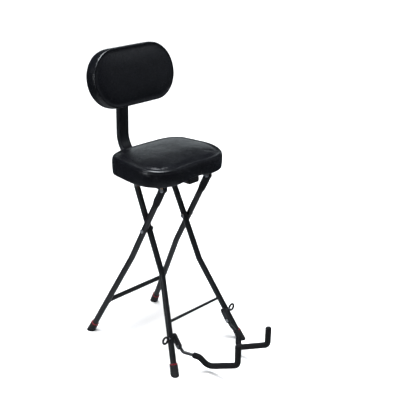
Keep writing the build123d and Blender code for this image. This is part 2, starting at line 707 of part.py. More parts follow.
def pill(inset, y0, y1, mode=Mode.ADD):
    w, h = PAD_W - 2 * inset, PAD_H - 2 * inset
    with BuildSketch(pad_plane(y0)) as sk:
        RectangleRounded(w, h, min(h / 2 - 0.5, PAD_R - inset))
    extrude(sk.sketch, amount=y1 - y0, mode=mode)


def pad_rod(r, x, z, y0, y1, mode=Mode.ADD):
    with BuildSketch(pad_plane(y0, x, z)) as sk:
        Circle(r)
    extrude(sk.sketch, amount=y1 - y0, mode=mode)


PAD_SCREWS = [(sx * 31.0, sz * 25.0) for sx in (-1, 1) for sz in (-1, 1)]

with BuildPart() as backrest_cushion:
    pill(0, -PAD_T, -0.3)
    fillet(backrest_cushion.faces().sort_by(PAD_AXIS)[0].edges(), 9.0)
    fillet(backrest_cushion.faces().sort_by(PAD_AXIS)[-1].edges(), 3.0)
    pill(6.0, -9.6, 5, mode=Mode.SUBTRACT)
save(backrest_cushion.part, "backrest_cushion")

with BuildPart() as backrest_board:
    pill(6.4, -9.4, -0.1)
    for x, z in PAD_SCREWS:
        pad_rod(SCREW_R + 0.09, x, z, -8.8, 1, mode=Mode.SUBTRACT)
save(backrest_board.part, "backrest_board")

# wedge shaped bracket of folded sheet between the board and the post
BRK_T = 2.5
BRK_X = 24.0
BRK_Z0, BRK_Z1 = 780.0, 856.0
POST_FACE = POST_Y - POST_T / 2


def back_of_board(z, off):
    """Y at height z of the plane that lies off behind the back of the pad."""
    lz = (z - PAD_MID[1] + LEAN_S * off) / LEAN_C
    return pad_point(0, off, lz)[1]


with BuildPart() as backrest_bracket:
    with BuildSketch(Plane(origin=(-BRK_X, 0, 0), x_dir=(0, 1, 0), z_dir=(1, 0, 0))):
        with BuildLine():
            Polyline(
                (POST_FACE - 0.02, BRK_Z0), (POST_FACE - 0.02, BRK_Z1), (back_of_board(BRK_Z1, -0.06), BRK_Z1),
                (back_of_board(BRK_Z0, -0.06), BRK_Z0), close=True)
        make_face()
    extrude(amount=2 * BRK_X)
    with BuildSketch(pad_plane(-0.06)):
        RectangleRounded(76.0, 74.0, 6.0)
    extrude(amount=BRK_T)
    with BuildSketch(Plane(origin=(BRK_T - BRK_X, 0, 0), x_dir=(0, 1, 0), z_dir=(1, 0, 0))):
        with BuildLine():
            Polyline(
                (POST_FACE - BRK_T, BRK_Z0 - 20), (POST_FACE - BRK_T, BRK_Z1 + 4),
                (back_of_board(BRK_Z1 + 4, BRK_T - 0.06), BRK_Z1 + 4),
                (back_of_board(BRK_Z0 - 20, BRK_T - 0.06), BRK_Z0 - 20), close=True)
        make_face()
    extrude(amount=2 * (BRK_X - BRK_T), mode=Mode.SUBTRACT)
    for bz in BACK_BOLT_Z:
        with BuildSketch(Plane(origin=(0, POST_FACE + 1, bz), x_dir=(1, 0, 0), z_dir=(0, -1, 0))):
            Circle(3.0 + RUN)
        extrude(amount=BRK_T + 3, mode=Mode.SUBTRACT)
    for x, z in PAD_SCREWS:
        pad_rod(SCREW_R + 0.09, x, z, -1, BRK_T + 2, mode=Mode.SUBTRACT)
save(backrest_bracket.part, "backrest_bracket")


def pad_screw(x, z):
    with BuildPart() as screw:
        pad_rod(SCREW_R, x, z, -8.6, BRK_T + 0.5)
        pad_rod(3.9, x, z, BRK_T - 0.04, BRK_T + 2.0)
    return screw.part


save(Compound(children=[pad_screw(x, z) for x, z in PAD_SCREWS]), "backrest_screws")


def back_bolt(bz):
    head = POST_Y + POST_T / 2 + 0.02
    with BuildPart() as bolt:
        with BuildSketch(Plane(origin=(0, head, bz), x_dir=(1, 0, 0), z_dir=(0, -1, 0))):
            Circle(3.0)
        extrude(amount=POST_T + BRK_T + 6.4)
        with BuildSketch(Plane(origin=(0, head, bz), x_dir=(1, 0, 0), z_dir=(0, 1, 0))):
            Circle(6.5)
        extrude(amount=3.4)
        fillet(bolt.faces().sort_by(Axis.Y)[-1].edges(), 1.8)
    return bolt.part


def back_nut(bz):
    with BuildPart() as nut:
        with BuildSketch(Plane(origin=(0, POST_FACE - BRK_T - 0.02, bz), x_dir=(1, 0, 0), z_dir=(0, -1, 0))):
            RegularPolygon(5.0, 6, major_radius=False)
            Circle(3.02, mode=Mode.SUBTRACT)
        extrude(amount=5.0)
    return nut.part


save(Compound(children=[back_bolt(bz) for bz in BACK_BOLT_Z]), "backrest_bolts")
save(Compound(children=[back_nut(bz) for bz in BACK_BOLT_Z]), "backrest_nuts")
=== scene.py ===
import json
import math
import random

import bpy
import numpy as np
from mathutils import Matrix, Vector, noise
from mathutils.kdtree import KDTree


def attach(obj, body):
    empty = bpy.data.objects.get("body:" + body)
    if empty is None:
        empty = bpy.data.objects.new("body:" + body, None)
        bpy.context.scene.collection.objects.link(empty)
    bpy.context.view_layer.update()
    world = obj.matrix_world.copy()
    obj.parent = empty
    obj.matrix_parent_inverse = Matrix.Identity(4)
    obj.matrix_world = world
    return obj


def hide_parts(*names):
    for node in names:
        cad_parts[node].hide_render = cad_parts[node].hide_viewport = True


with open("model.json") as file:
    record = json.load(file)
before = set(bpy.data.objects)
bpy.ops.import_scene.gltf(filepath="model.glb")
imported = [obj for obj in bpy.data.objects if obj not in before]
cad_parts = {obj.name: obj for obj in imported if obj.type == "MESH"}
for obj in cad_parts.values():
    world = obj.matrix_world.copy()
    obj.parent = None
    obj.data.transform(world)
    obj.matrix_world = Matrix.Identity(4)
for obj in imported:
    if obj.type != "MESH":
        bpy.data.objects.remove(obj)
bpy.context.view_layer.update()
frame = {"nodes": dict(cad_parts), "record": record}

nodes = frame["nodes"]
random.seed(7)

# Shapes below are given in millimetres with Y counted from midway between the
# front and rear feet, and moved to the shared frame as they are made.
Y_SHIFT = 82.85


def place(p):
    return (p[0] / 1000.0, (p[1] + Y_SHIFT) / 1000.0, p[2] / 1000.0)


# ------------------------------------------------------------------ materials
class Shade:
    """One material and the few node chains it needs."""

    def __init__(self, name, color, rough, metal=0.0):
        self.m = bpy.data.materials.new(name)
        self.m.use_nodes = True
        self.t = self.m.node_tree
        self.p = self.t.nodes["Principled BSDF"]
        self.p.inputs["Base Color"].default_value = (*color, 1)
        self.p.inputs["Roughness"].default_value = rough
        self.p.inputs["Metallic"].default_value = metal
        self.co = self.t.nodes.new("ShaderNodeTexCoord").outputs["Object"]
        self.m.diffuse_color = (*color, 1)

    def link(self, a, b):
        self.t.links.new(a, b)

    def mapped(self, scale=(1, 1, 1), rot=(0, 0, 0)):
        n = self.t.nodes.new("ShaderNodeMapping")
        n.inputs["Scale"].default_value = scale
        n.inputs["Rotation"].default_value = rot
        self.link(self.co, n.inputs["Vector"])
        return n.outputs["Vector"]

    def noise(self, scale, detail=3.0, rough=0.55, co=None, distort=0.0):
        n = self.t.nodes.new("ShaderNodeTexNoise")
        n.inputs["Scale"].default_value = scale
        n.inputs["Detail"].default_value = detail
        n.inputs["Roughness"].default_value = rough
        n.inputs["Distortion"].default_value = distort
        self.link(co or self.co, n.inputs["Vector"])
        return n.outputs["Fac"]

    def cells(self, scale, feature="DISTANCE_TO_EDGE", co=None, out="Distance"):
        n = self.t.nodes.new("ShaderNodeTexVoronoi")
        n.feature = feature
        n.inputs["Scale"].default_value = scale
        self.link(co or self.co, n.inputs["Vector"])
        return n.outputs[out]

    def wave(self, scale, distort=2.0, detail=2.0, co=None, kind="BANDS", direction="X"):
        n = self.t.nodes.new("ShaderNodeTexWave")
        n.wave_type = kind
        n.bands_direction = direction
        n.inputs["Scale"].default_value = scale
        n.inputs["Distortion"].default_value = distort
        n.inputs["Detail"].default_value = detail
        self.link(co or self.co, n.inputs["Vector"])
        return n.outputs["Fac"]

    def ramp(self, fac, stops):
        n = self.t.nodes.new("ShaderNodeValToRGB")
        e = n.color_ramp.elements
        while len(e) < len(stops):
            e.new(0.5)
        for el, (pos, col) in zip(e, stops):
            el.position = pos
            el.color = (*col, 1) if len(col) == 3 else col
        self.link(fac, n.inputs["Fac"])
        return n.outputs["Color"]

    def span(self, fac, a, b, c, d):
        n = self.t.nodes.new("ShaderNodeMapRange")
        n.inputs["From Min"].default_value = a
        n.inputs["From Max"].default_value = b
        n.inputs["To Min"].default_value = c
        n.inputs["To Max"].default_value = d
        self.link(fac, n.inputs["Value"])
        return n.outputs["Result"]

    def math(self, op, a, b):
        n = self.t.nodes.new("ShaderNodeMath")
        n.operation = op
        for i, v in enumerate((a, b)):
            if isinstance(v, (int, float)):
                n.inputs[i].default_value = v
            else:
                self.link(v, n.inputs[i])
        return n.outputs[0]

    def mix(self, fac, a, b):
        n = self.t.nodes.new("ShaderNodeMix")
        n.data_type = "RGBA"
        if isinstance(fac, (int, float)):
            n.inputs[0].default_value = fac
        else:
            self.link(fac, n.inputs[0])
        for i, v in ((6, a), (7, b)):
            if isinstance(v, tuple):
                n.inputs[i].default_value = (*v, 1)
            else:
                self.link(v, n.inputs[i])
        return n.outputs[2]

    def color(self, out):
        self.link(out, self.p.inputs["Base Color"])

    def rough(self, out):
        self.link(out, self.p.inputs["Roughness"])

    def bumps(self, *layers):
        """layers of (height output, distance in metres, strength)"""
        last = None
        for height, dist, strength in layers:
            n = self.t.nodes.new("ShaderNodeBump")
            n.inputs["Distance"].default_value = dist
            n.inputs["Strength"].default_value = strength
            self.link(height, n.inputs["Height"])
            if last is not None:
                self.link(last, n.inputs["Normal"])
            last = n.outputs["Normal"]
        self.link(last, self.p.inputs["Normal"])


def powder_coat(name, base, rough, wear=0.0):
    s = Shade(name, base, rough)
    s.p.inputs["Specular IOR Level"].default_value = 0.5
    s.p.inputs["Coat Weight"].default_value = 0.25
    s.p.inputs["Coat Roughness"].default_value = 0.22
    cloud = s.noise(18.0, 4.0)
    fine = s.noise(900.0, 2.0)
    b = tuple(c * 1.5 + 0.0006 for c in base)
    body = s.ramp(cloud, [(0.3, base), (0.75, b)])
    # a little dust and handling scuffs
    scuff = s.span(s.noise(55.0, 6.0, 0.7, co=s.mapped((1, 1, 0.35))), 0.66, 0.8, 0.0, 0.35 + wear)
    s.color(s.mix(scuff, body, tuple(c * 2.0 + 0.008 for c in base)))
    s.rough(s.span(s.math("ADD", cloud, s.math("MULTIPLY", scuff, 0.8)), 0.25, 1.1, rough - 0.06, rough + 0.16))
    s.bumps((fine, 0.00006, 0.55), (s.noise(160.0, 2.0), 0.00012, 0.35))
    return s.m


def vinyl(name, base=(0.0019, 0.002, 0.0028), rough=0.21, grain=520.0):
    s = Shade(name, base, rough)
    s.p.inputs["Specular IOR Level"].default_value = 0.5
    s.p.inputs["Coat Weight"].default_value = 0.1
    s.p.inputs["Coat Roughness"].default_value = 0.15
    s.p.inputs["Sheen Weight"].default_value = 0.005
    s.p.inputs["Sheen Roughness"].default_value = 0.4
    warp = s.noise(35.0, 3.0)
    pebble = s.cells(grain)
    small = s.cells(grain * 2.1)
    crease = s.cells(grain * 0.28)
    pores = s.noise(grain * 6.0, 2.0)
    shade = s.ramp(warp, [(0.3, tuple(c * 0.8 for c in base)), (0.72, tuple(c * 1.4 + 0.0003 for c in base))])
    # painted shade: the grain's low valleys are darkened toward 0.4 of the base colour, and also made a little rougher
    valley = s.span(pebble, 0.0, 0.12, 1.0, 0.0)
    s.color(s.mix(s.math("MULTIPLY", valley, 0.5), shade, tuple(c * 0.4 for c in base)))
    polish = s.noise(9.0, 3.0)
    s.rough(s.span(s.math("ADD", polish, s.math("MULTIPLY", valley, 0.45)), 0.3, 1.1, rough - 0.03, rough + 0.09))
    s.bumps(
        (s.span(crease, 0.0, 0.05, 0.0, 1.0), 0.00005, 0.35),
        (s.span(pebble, 0.0, 0.16, 0.0, 1.0), 0.00012, 0.55),
        (s.span(small, 0.0, 0.2, 0.0, 1.0), 0.00005, 0.4),
        (pores, 0.00002, 0.3),
    )
    return s.m


def zinc(name, base=(0.62, 0.63, 0.65), rough=0.28):
    s = Shade(name, base, rough, 1.0)
    streak = s.noise(260.0, 4.0, co=s.mapped((1, 1, 6)))
    cloud = s.noise(120.0, 3.0)
    s.color(s.ramp(cloud, [(0.3, tuple(c * 0.82 for c in base)), (0.7, base)]))
    s.rough(s.span(streak, 0.3, 0.7, rough - 0.08, rough + 0.12))
    s.bumps((streak, 0.00003, 0.4))
    return s.m


def rubber(name, base=(0.0042, 0.0042, 0.0046), rough=0.6):
    s = Shade(name, base, rough)
    s.p.inputs["Specular IOR Level"].default_value = 0.3
    s.p.inputs["Sheen Weight"].default_value = 0.015
    dust = s.noise(70.0, 5.0, 0.65)
    s.color(s.ramp(dust, [(0.35, base), (0.8, tuple(c * 1.8 + 0.002 for c in base))]))
    s.rough(s.span(dust, 0.3, 0.8, rough - 0.08, rough + 0.16))
    s.bumps((s.noise(1500.0, 2.0), 0.00005, 0.5), (s.noise(240.0, 2.0), 0.0001, 0.3))
    return s.m


def foam(name):
    base = (0.0026, 0.0027, 0.0031)
    s = Shade(name, base, 0.8)
    s.p.inputs["Specular IOR Level"].default_value = 0.18
    s.p.inputs["Sheen Weight"].default_value = 0.012
    s.p.inputs["Sheen Roughness"].default_value = 0.5
    open_cell = s.cells(1500.0)
    tone = s.noise(160.0, 4.0)
    # painted shade: the low edges of the open cells are darkened toward near black
    hole_shade = s.span(open_cell, 0.0, 0.22, 1.0, 0.0)
    c = s.ramp(tone, [(0.3, base), (0.75, tuple(v * 1.8 + 0.0005 for v in base))])
    s.color(s.mix(s.math("MULTIPLY", hole_shade, 0.6), c, (0.002, 0.002, 0.0022)))
    s.rough(s.span(tone, 0.3, 0.7, 0.7, 0.92))
    s.bumps((s.span(open_cell, 0.0, 0.3, 0.0, 1.0), 0.00018, 0.6), (s.noise(420.0, 3.0), 0.00022, 0.35))
    return s.m


def gloss_red(name):
    base = (0.13, 0.008, 0.012)
    s = Shade(name, base, 0.3)
    s.p.inputs["Coat Weight"].default_value = 0.5
    s.p.inputs["Coat Roughness"].default_value = 0.12
    n = s.noise(90.0, 4.0)
    s.color(s.ramp(n, [(0.3, tuple(c * 0.75 for c in base)), (0.75, tuple(c * 1.25 for c in base))]))
    s.rough(s.span(n, 0.3, 0.7, 0.24, 0.4))
    s.bumps((s.noise(500.0, 2.0), 0.00004, 0.3))
    return s.m


def moulded(name, base=(0.006, 0.006, 0.0066), rough=0.46, grain=700.0):
    s = Shade(name, base, rough)
    s.p.inputs["Specular IOR Level"].default_value = 0.5
    spark = s.cells(grain, "F1")
    n = s.noise(30.0, 3.0)
    s.color(s.ramp(n, [(0.3, base), (0.8, tuple(c * 1.6 for c in base))]))
    s.rough(s.span(n, 0.3, 0.7, rough - 0.06, rough + 0.1))
    s.bumps((spark, 0.00006, 0.5))
    return s.m


def plywood(name, base, dark, rough=0.6):
    s = Shade(name, base, rough)
    co = s.mapped((6.0, 0.6, 40.0), (0.0, 0.0, 0.06))
    grain = s.wave(9.0, 6.0, 4.0, co=co, direction="X")
    fibre = s.noise(160.0, 6.0, 0.65, co=s.mapped((5.0, 0.35, 5.0)))
    ply = s.wave(95.0, 0.4, 1.0, co=s.mapped((0, 0, 1)), direction="Z")
    c = s.ramp(grain, [(0.2, dark), (0.55, base), (0.95, tuple(v * 1.12 for v in base))])
    c = s.mix(s.math("MULTIPLY", fibre, 0.55), c, dark)
    s.color(s.mix(s.math("MULTIPLY", ply, 0.25), c, dark))
    s.rough(s.span(fibre, 0.3, 0.7, rough - 0.08, rough + 0.15))
    s.bumps((fibre, 0.00012, 0.5), (grain, 0.00008, 0.3))
    return s.m


BLACK = (0.0035, 0.0036, 0.0041)
M_FRAME = powder_coat("frame_coat", BLACK, 0.34)
M_POST = powder_coat("post_coat", (0.0058, 0.0062, 0.0074), 0.34)
M_BRACKET = powder_coat("bracket_coat", (0.0045, 0.0045, 0.005), 0.3)
M_VINYL = vinyl("seat_vinyl")
M_VINYL_BACK = vinyl("back_vinyl", (0.0013, 0.0014, 0.0021), 0.26)
M_THREAD = rubber("sewing_thread", (0.006, 0.006, 0.007), 0.7)
M_STEEL = zinc("bolt_zinc")
M_STAPLE = zinc("staple_zinc", (0.5, 0.5, 0.5), 0.35)
M_RUBBER = rubber("foot_rubber")
M_RED = gloss_red("ring_red")
M_FOAM = foam("sleeve_foam")
M_NYLON = moulded("black_nylon", (0.004, 0.004, 0.0044), 0.42)
M_KNOB = moulded("knob_plastic", (0.0065, 0.0065, 0.007), 0.5, 520.0)
M_PLY = plywood("seat_plywood", (0.42, 0.27, 0.14), (0.21, 0.115, 0.05))
M_HARD = plywood("back_board", (0.03, 0.028, 0.027), (0.012, 0.011, 0.011), 0.55)

BY_SLOT = {
    "frame_black": M_FRAME, "post_black": M_POST, "bracket_black": M_BRACKET, "bolt_steel": M_STEEL,
    "vinyl": M_VINYL, "board": M_PLY, "board_black": M_HARD, "rubber": M_RUBBER, "ring_red": M_RED,
    "nylon": M_NYLON, "foam": M_FOAM, "knob": M_KNOB, "spacer": M_NYLON,
}
slot_of = {p["node"]: p["material_slot"] for p in frame["record"]["subparts"]}
for name, o in nodes.items():
    o.data.materials.clear()
    o.data.materials.append(BY_SLOT[slot_of[name]])


# ------------------------------------------------------------------ mesh tools
def mesh_object(name, verts, faces, mat, body, smooth=True, sharp=None, raw=False):
    me = bpy.data.meshes.new(name)
    me.from_pydata([place(v) for v in verts] if not raw else [tuple(v) for v in verts], [], faces)
    me.validate()
    me.update()
    o = bpy.data.objects.new(name, me)
    bpy.context.scene.collection.objects.link(o)
    me.materials.append(mat)
    if smooth:
        me.polygons.foreach_set("use_smooth", [True] * len(me.polygons))
        if sharp is not None:
            me.set_sharp_from_angle(angle=math.radians(sharp))
    import bmesh
    bm = bmesh.new()
    bm.from_mesh(me)
    bmesh.ops.recalc_face_normals(bm, faces=bm.faces)
    bm.to_mesh(me)
    bm.free()
    if body:
        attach(o, body)
    return o


def frame_axes(axis):
    z = Vector(axis).normalized()
    x = Vector((0, 0, 1)).cross(z)
    if x.length < 1e-3:
        x = Vector((1, 0, 0))
    x.normalize()
    return x, z.cross(x).normalized(), z


def lathe_geo(origin, axis, rings, seg=48, turn=0.0):
    """rings of (height, radius or radius(angle)); closed with a point at each end."""
    x, y, z = frame_axes(axis)
    o = Vector(origin)
    verts, faces = [], []
    for h, r in rings:
        for k in range(seg):
            a = 2 * math.pi * k / seg + turn
            rr = r(a) if callable(r) else r
            verts.append(o + z * h + (x * math.cos(a) + y * math.sin(a)) * rr)
    n = len(rings)
    for j in range(n - 1):
        for k in range(seg):
            k2 = (k + 1) % seg
            faces.append((j * seg + k, j * seg + k2, (j + 1) * seg + k2, (j + 1) * seg + k))
    verts.append(o + z * rings[0][0])
    verts.append(o + z * rings[-1][0])
    a, b = len(verts) - 2, len(verts) - 1
    for k in range(seg):
        k2 = (k + 1) % seg
        faces.append((a, k2, k))
        faces.append((b, (n - 1) * seg + k, (n - 1) * seg + k2))
    return verts, faces


def join_geo(parts):
    verts, faces = [], []
    for v, f in parts:
        k = len(verts)
        verts += list(v)
        faces += [tuple(i + k for i in q) for q in f]
    return verts, faces


def hexagon(af):
    def r(a):
        t = (a + math.pi / 6) % (math.pi / 3) - math.pi / 6
        return af / 2 / math.cos(t)
    return r


def tube_geo(path, radius, seg=24, closed=False, cap=True, up=None):
    """A tube along points; radius is a number or radius(i, angle)."""
    pts = [Vector(p) for p in path]
    n = len(pts)
    verts, faces = [], []
    t0 = (pts[1] - pts[0]).normalized()
    ref = Vector(up) if up else (Vector((0, 0, 1)) if abs(t0.z) < 0.9 else Vector((1, 0, 0)))
    u = (ref - t0 * ref.dot(t0)).normalized()
    frames = []
    for i in range(n):
        if closed:
            t = (pts[(i + 1) % n] - pts[i - 1]).normalized()
        else:
            t = (pts[min(i + 1, n - 1)] - pts[max(i - 1, 0)]).normalized()
        u = (u - t * u.dot(t)).normalized()
        frames.append((t, u, t.cross(u)))
    for i, (t, u, w) in enumerate(frames):
        for k in range(seg):
            a = 2 * math.pi * k / seg
            r = radius(i, a) if callable(radius) else radius
            verts.append(pts[i] + (u * math.cos(a) + w * math.sin(a)) * r)
    last = n if closed else n - 1
    for i in range(last):
        j = (i + 1) % n
        for k in range(seg):
            k2 = (k + 1) % seg
            faces.append((i * seg + k, i * seg + k2, j * seg + k2, j * seg + k))
    if not closed and cap:
        verts += [pts[0], pts[-1]]
        a, b = len(verts) - 2, len(verts) - 1
        for k in range(seg):
            k2 = (k + 1) % seg
            faces.append((a, k2, k))
            faces.append((b, (n - 1) * seg + k, (n - 1) * seg + k2))
    return verts, faces


def filleted(points, radii, step=2.0):
    """A polyline with rounded corners, sampled evenly enough for a tube."""
    pts = [Vector(p) for p in points]
    out = [pts[0]]
    for i in range(1, len(pts) - 1):
        a, b, c = pts[i - 1], pts[i], pts[i + 1]
        radius = radii[i - 1]
        d0, d1 = (a - b).normalized(), (c - b).normalized()
        half = d0.angle(d1) / 2
        cut = radius / math.tan(half)
        p0, p1 = b + d0 * cut, b + d1 * cut
        centre = b + (d0 + d1).normalized() * (radius / math.sin(half))
        k = max(4, int(radius * (math.pi - 2 * half) / step) + 1)
        v0, v1 = p0 - centre, p1 - centre
        for j in range(k + 1):
            q = centre + v0.normalized().slerp(v1.normalized(), j / k).normalized() * radius
            out.append(q)
    out.append(pts[-1])
    full = [out[0]]
    for a, b in zip(out, out[1:]):
        m = max(1, int((b - a).length / (step * 1.6)))
        for j in range(1, m + 1):
            full.append(a.lerp(b, j / m))
    return full


# ------------------------------------------------------------------ cushions
def square_grid(nx, ny):
    """Grid points in [-1, 1] squared and the order of its border, anticlockwise."""
    us = np.linspace(-1, 1, nx + 1)
    vs = np.linspace(-1, 1, ny + 1)
    uv = np.array([(u, v) for v in vs for u in us])
    at = lambda i, j: j * (nx + 1) + i
    faces = [(at(i, j), at(i + 1, j), at(i + 1, j + 1), at(i, j + 1)) for j in range(ny) for i in range(nx)]
    loop = [at(i, 0) for i in range(nx)] + [at(nx, j) for j in range(ny)]
    loop += [at(i, ny) for i in range(nx, 0, -1)] + [at(0, j) for j in range(ny, 0, -1)]
    return uv, faces, loop


def loop_normals(p):
    t = np.roll(p, -1, 0) - np.roll(p, 1, 0)
    n = np.stack([t[:, 1], -t[:, 0]], 1)
    return n / np.linalg.norm(n, axis=1)[:, None]


def puff(name, verts, faces, pin, pressure, cap, shrink=0.0):
    """Blows a copy of a form up as cloth and returns how far each point moved, in mm."""
    me = bpy.data.meshes.new(name)
    me.from_pydata([place(v) for v in verts], [], faces)
    me.update()
    o = bpy.data.objects.new(name, me)
    bpy.context.scene.collection.objects.link(o)
    g = o.vertex_groups.new(name="held")
    for i, w in enumerate(pin):
        if w > 0:
            g.add([i], float(w), "REPLACE")
    m = o.modifiers.new("cloth", "CLOTH")
    c = m.settings
    c.quality = 6
    c.mass = 0.25
    c.tension_stiffness = 22
    c.compression_stiffness = 14
    c.shear_stiffness = 8
    c.bending_stiffness = 1.2
    c.use_pressure = True
    c.uniform_pressure_force = pressure
    c.shrink_min = shrink
    c.vertex_group_mass = "held"
    c.effector_weights.gravity = 0
    m.collision_settings.use_collision = False
    m.point_cache.frame_start = 1
    m.point_cache.frame_end = 20
    scene = bpy.context.scene
    for f in range(1, 21):
        scene.frame_set(f)
    dg = bpy.context.evaluated_depsgraph_get()
    ev = o.evaluated_get(dg)
    out = np.array([v.co for v in ev.data.vertices], float)
    rest = np.array([v.co for v in me.vertices], float)
    scene.frame_set(1)
    bpy.data.objects.remove(o)
    d = (out - rest) * 1000.0
    length = np.linalg.norm(d, axis=1)
    k = np.where(length > 1e-6, cap * np.tanh(length / cap) / np.maximum(length, 1e-6), 0)
    print(name, "moved", float(length.mean()), float(length.max()))
    return d * k[:, None]


def carry(points, from_points, moves, n=4):
    """Moves of the coarse form, read at the points of the fine one."""
    tree = KDTree(len(from_points))
    for i, p in enumerate(from_points):
        tree.insert(Vector(p), i)
    tree.balance()
    out = np.zeros((len(points), 3))
    for i, p in enumerate(points):
        ws, s = 0.0, np.zeros(3)
        for _, j, dist in tree.find_n(Vector(p), n):
            w = 1.0 / (dist + 0.4) ** 2
            ws += w
            s += moves[j] * w
        out[i] = s / ws
    return out


def smoothstep(a, b, x):
    t = np.clip((np.asarray(x, float) - a) / (b - a), 0, 1)
    return t * t * (3 - 2 * t)


# ---- seat
SEAT_A, SEAT_F, SEAT_B, SEAT_N = 165.3, 135.8, 108.3, 3.7


def seat_border(uv, inset):
    """Outline point in the direction of each border point of the square."""
    n = (np.abs(uv[:, 0]) ** SEAT_N + np.abs(uv[:, 1]) ** SEAT_N) ** (1 / SEAT_N)
    q = uv / n[:, None]
    b = np.where(q[:, 1] > 0, SEAT_B, SEAT_F) - inset
    x = q[:, 0] * (SEAT_A - inset)
    y = q[:, 1] * b
    y = np.where(y < 0, y + 10.0 * np.exp(-((x / 50.0) ** 2)) * (y / SEAT_F) ** 2, y)
    x = x * (1 - 0.067 * np.exp(-(((y - 42.0) / 45.0) ** 2)) * (np.abs(x) / SEAT_A) ** 2)
    return np.stack([x, y], 1)


def seat_rim(x, y):
    """Height of the rolled edge: lower along the front."""
    return 624.2 - 6.6 * smoothstep(-20, -118, y) + 0.6 * smoothstep(60, 105, y)


def seat_top(x, y, d):
    """Height of the top: a full crown, a shallow channel inside the front edge."""
    front = smoothstep(-10, -105, y)
    rim = seat_rim(x, y)
    dome = 6.2 * (1 - (1 - np.clip(d / 118.0, 0, 1)) ** 2)
    channel = -(0.9 + 2.4 * front) * np.exp(-(((d - 20.0) / 7.5) ** 2))
    return rim - 1.3 + dome + channel


def fill_grid(uv, border_fn, inset):
    m = np.abs(uv).max(1)
    middle = m < 1e-9
    toward = np.where(middle[:, None], np.array([[1.0, 0.0]]), uv / np.where(middle, 1.0, m)[:, None])
    b = border_fn(toward, inset)
    return b * m[:, None]


def dist_to_loop(p, loop):
    best = np.full(len(p), 1e9)
    a, b = loop, np.roll(loop, -1, 0)
    for i in range(len(loop)):
        ab = b[i] - a[i]
        t = np.clip(((p - a[i]) @ ab) / (ab @ ab), 0, 1)
        q = a[i] + t[:, None] * ab
        best = np.minimum(best, ((p - q) ** 2).sum(1))
    return np.sqrt(best)


def build_cushion(name, border_fn, nx, ny, inner, top_fn, rings_fn, back_fn, to3, coarse, pressure, cap, fade):
    """A closed padded form: a crowned top from a grid, then rings down its side and round its back.

    rings_fn(p, n) gives a list of (inset array, height array, how far the side may swell)
    """
    outline = fill_grid(np.array([(math.cos(a) / max(abs(math.cos(a)), abs(math.sin(a))),
                                   math.sin(a) / max(abs(math.cos(a)), abs(math.sin(a))))
                                  for a in np.linspace(0, 2 * math.pi, 721)[:-1]]), border_fn, 0.0)

    def form(nx, ny, pick=None):
        uv, faces, loop = square_grid(nx, ny)
        p = fill_grid(uv, border_fn, inner)
        d = dist_to_loop(p, outline)
        z = top_fn(p[:, 0], p[:, 1], d)
        pts = [np.column_stack([p, z])]
        soft = [smoothstep(inner, inner + 26, d)]
        lp = p[loop]
        n = loop_normals(lp)
        count = len(lp)
        prev = list(loop)
        rings = rings_fn(lp, n)
        if pick:
            rings = [rings[i] for i in pick]
        base = len(uv)
        for d_in, h, s in rings:
            q = lp + n * (inner - d_in)[:, None]
            pts.append(np.column_stack([q, h]))
            soft.append(s)
            cur = list(range(base, base + count))
            for k in range(count):
                k2 = (k + 1) % count
                faces.append((prev[k], cur[k], cur[k2], prev[k2]))
            prev = cur
            base += count
        return np.vstack(pts), np.concatenate(soft), faces, loop, prev, uv, p, base

    pts, soft, faces, loop, prev, uv, p, base = form(nx, ny)
    # the inner face over the board closes the form
    back_h = back_fn()
    m = len(uv)
    pts = np.vstack([pts, np.column_stack([p, np.full(m, back_h)])])
    soft = np.concatenate([soft, np.zeros(m)])
    _, gf, _ = square_grid(nx, ny)
    faces += [tuple(base + i for i in reversed(q)) for q in gf]
    count = len(loop)
    for k in range(count):
        k2 = (k + 1) % count
        faces.append((prev[k], base + loop[k], base + loop[k2], prev[k2]))
    # swelling, from a coarser copy blown up as cloth
    cp, cs, cf, cl, cprev, cuv, _, _ = form(coarse[0], coarse[1], coarse[2])
    pin = np.where(cs > 0.02, 0.0, 1.0)
    world_c = np.array([to3(v) for v in cp])
    moves = puff(name + "_form", world_c, cf, pin, pressure, cap)
    world = np.array([to3(v) for v in pts])
    d3 = carry(world, world_c, moves)
    world = world + d3 * (soft * fade)[:, None]
    return world, faces, loop, base


def jitter(i, k):
    return noise.noise(Vector((i * 0.13, k * 1.7, 3.1)))


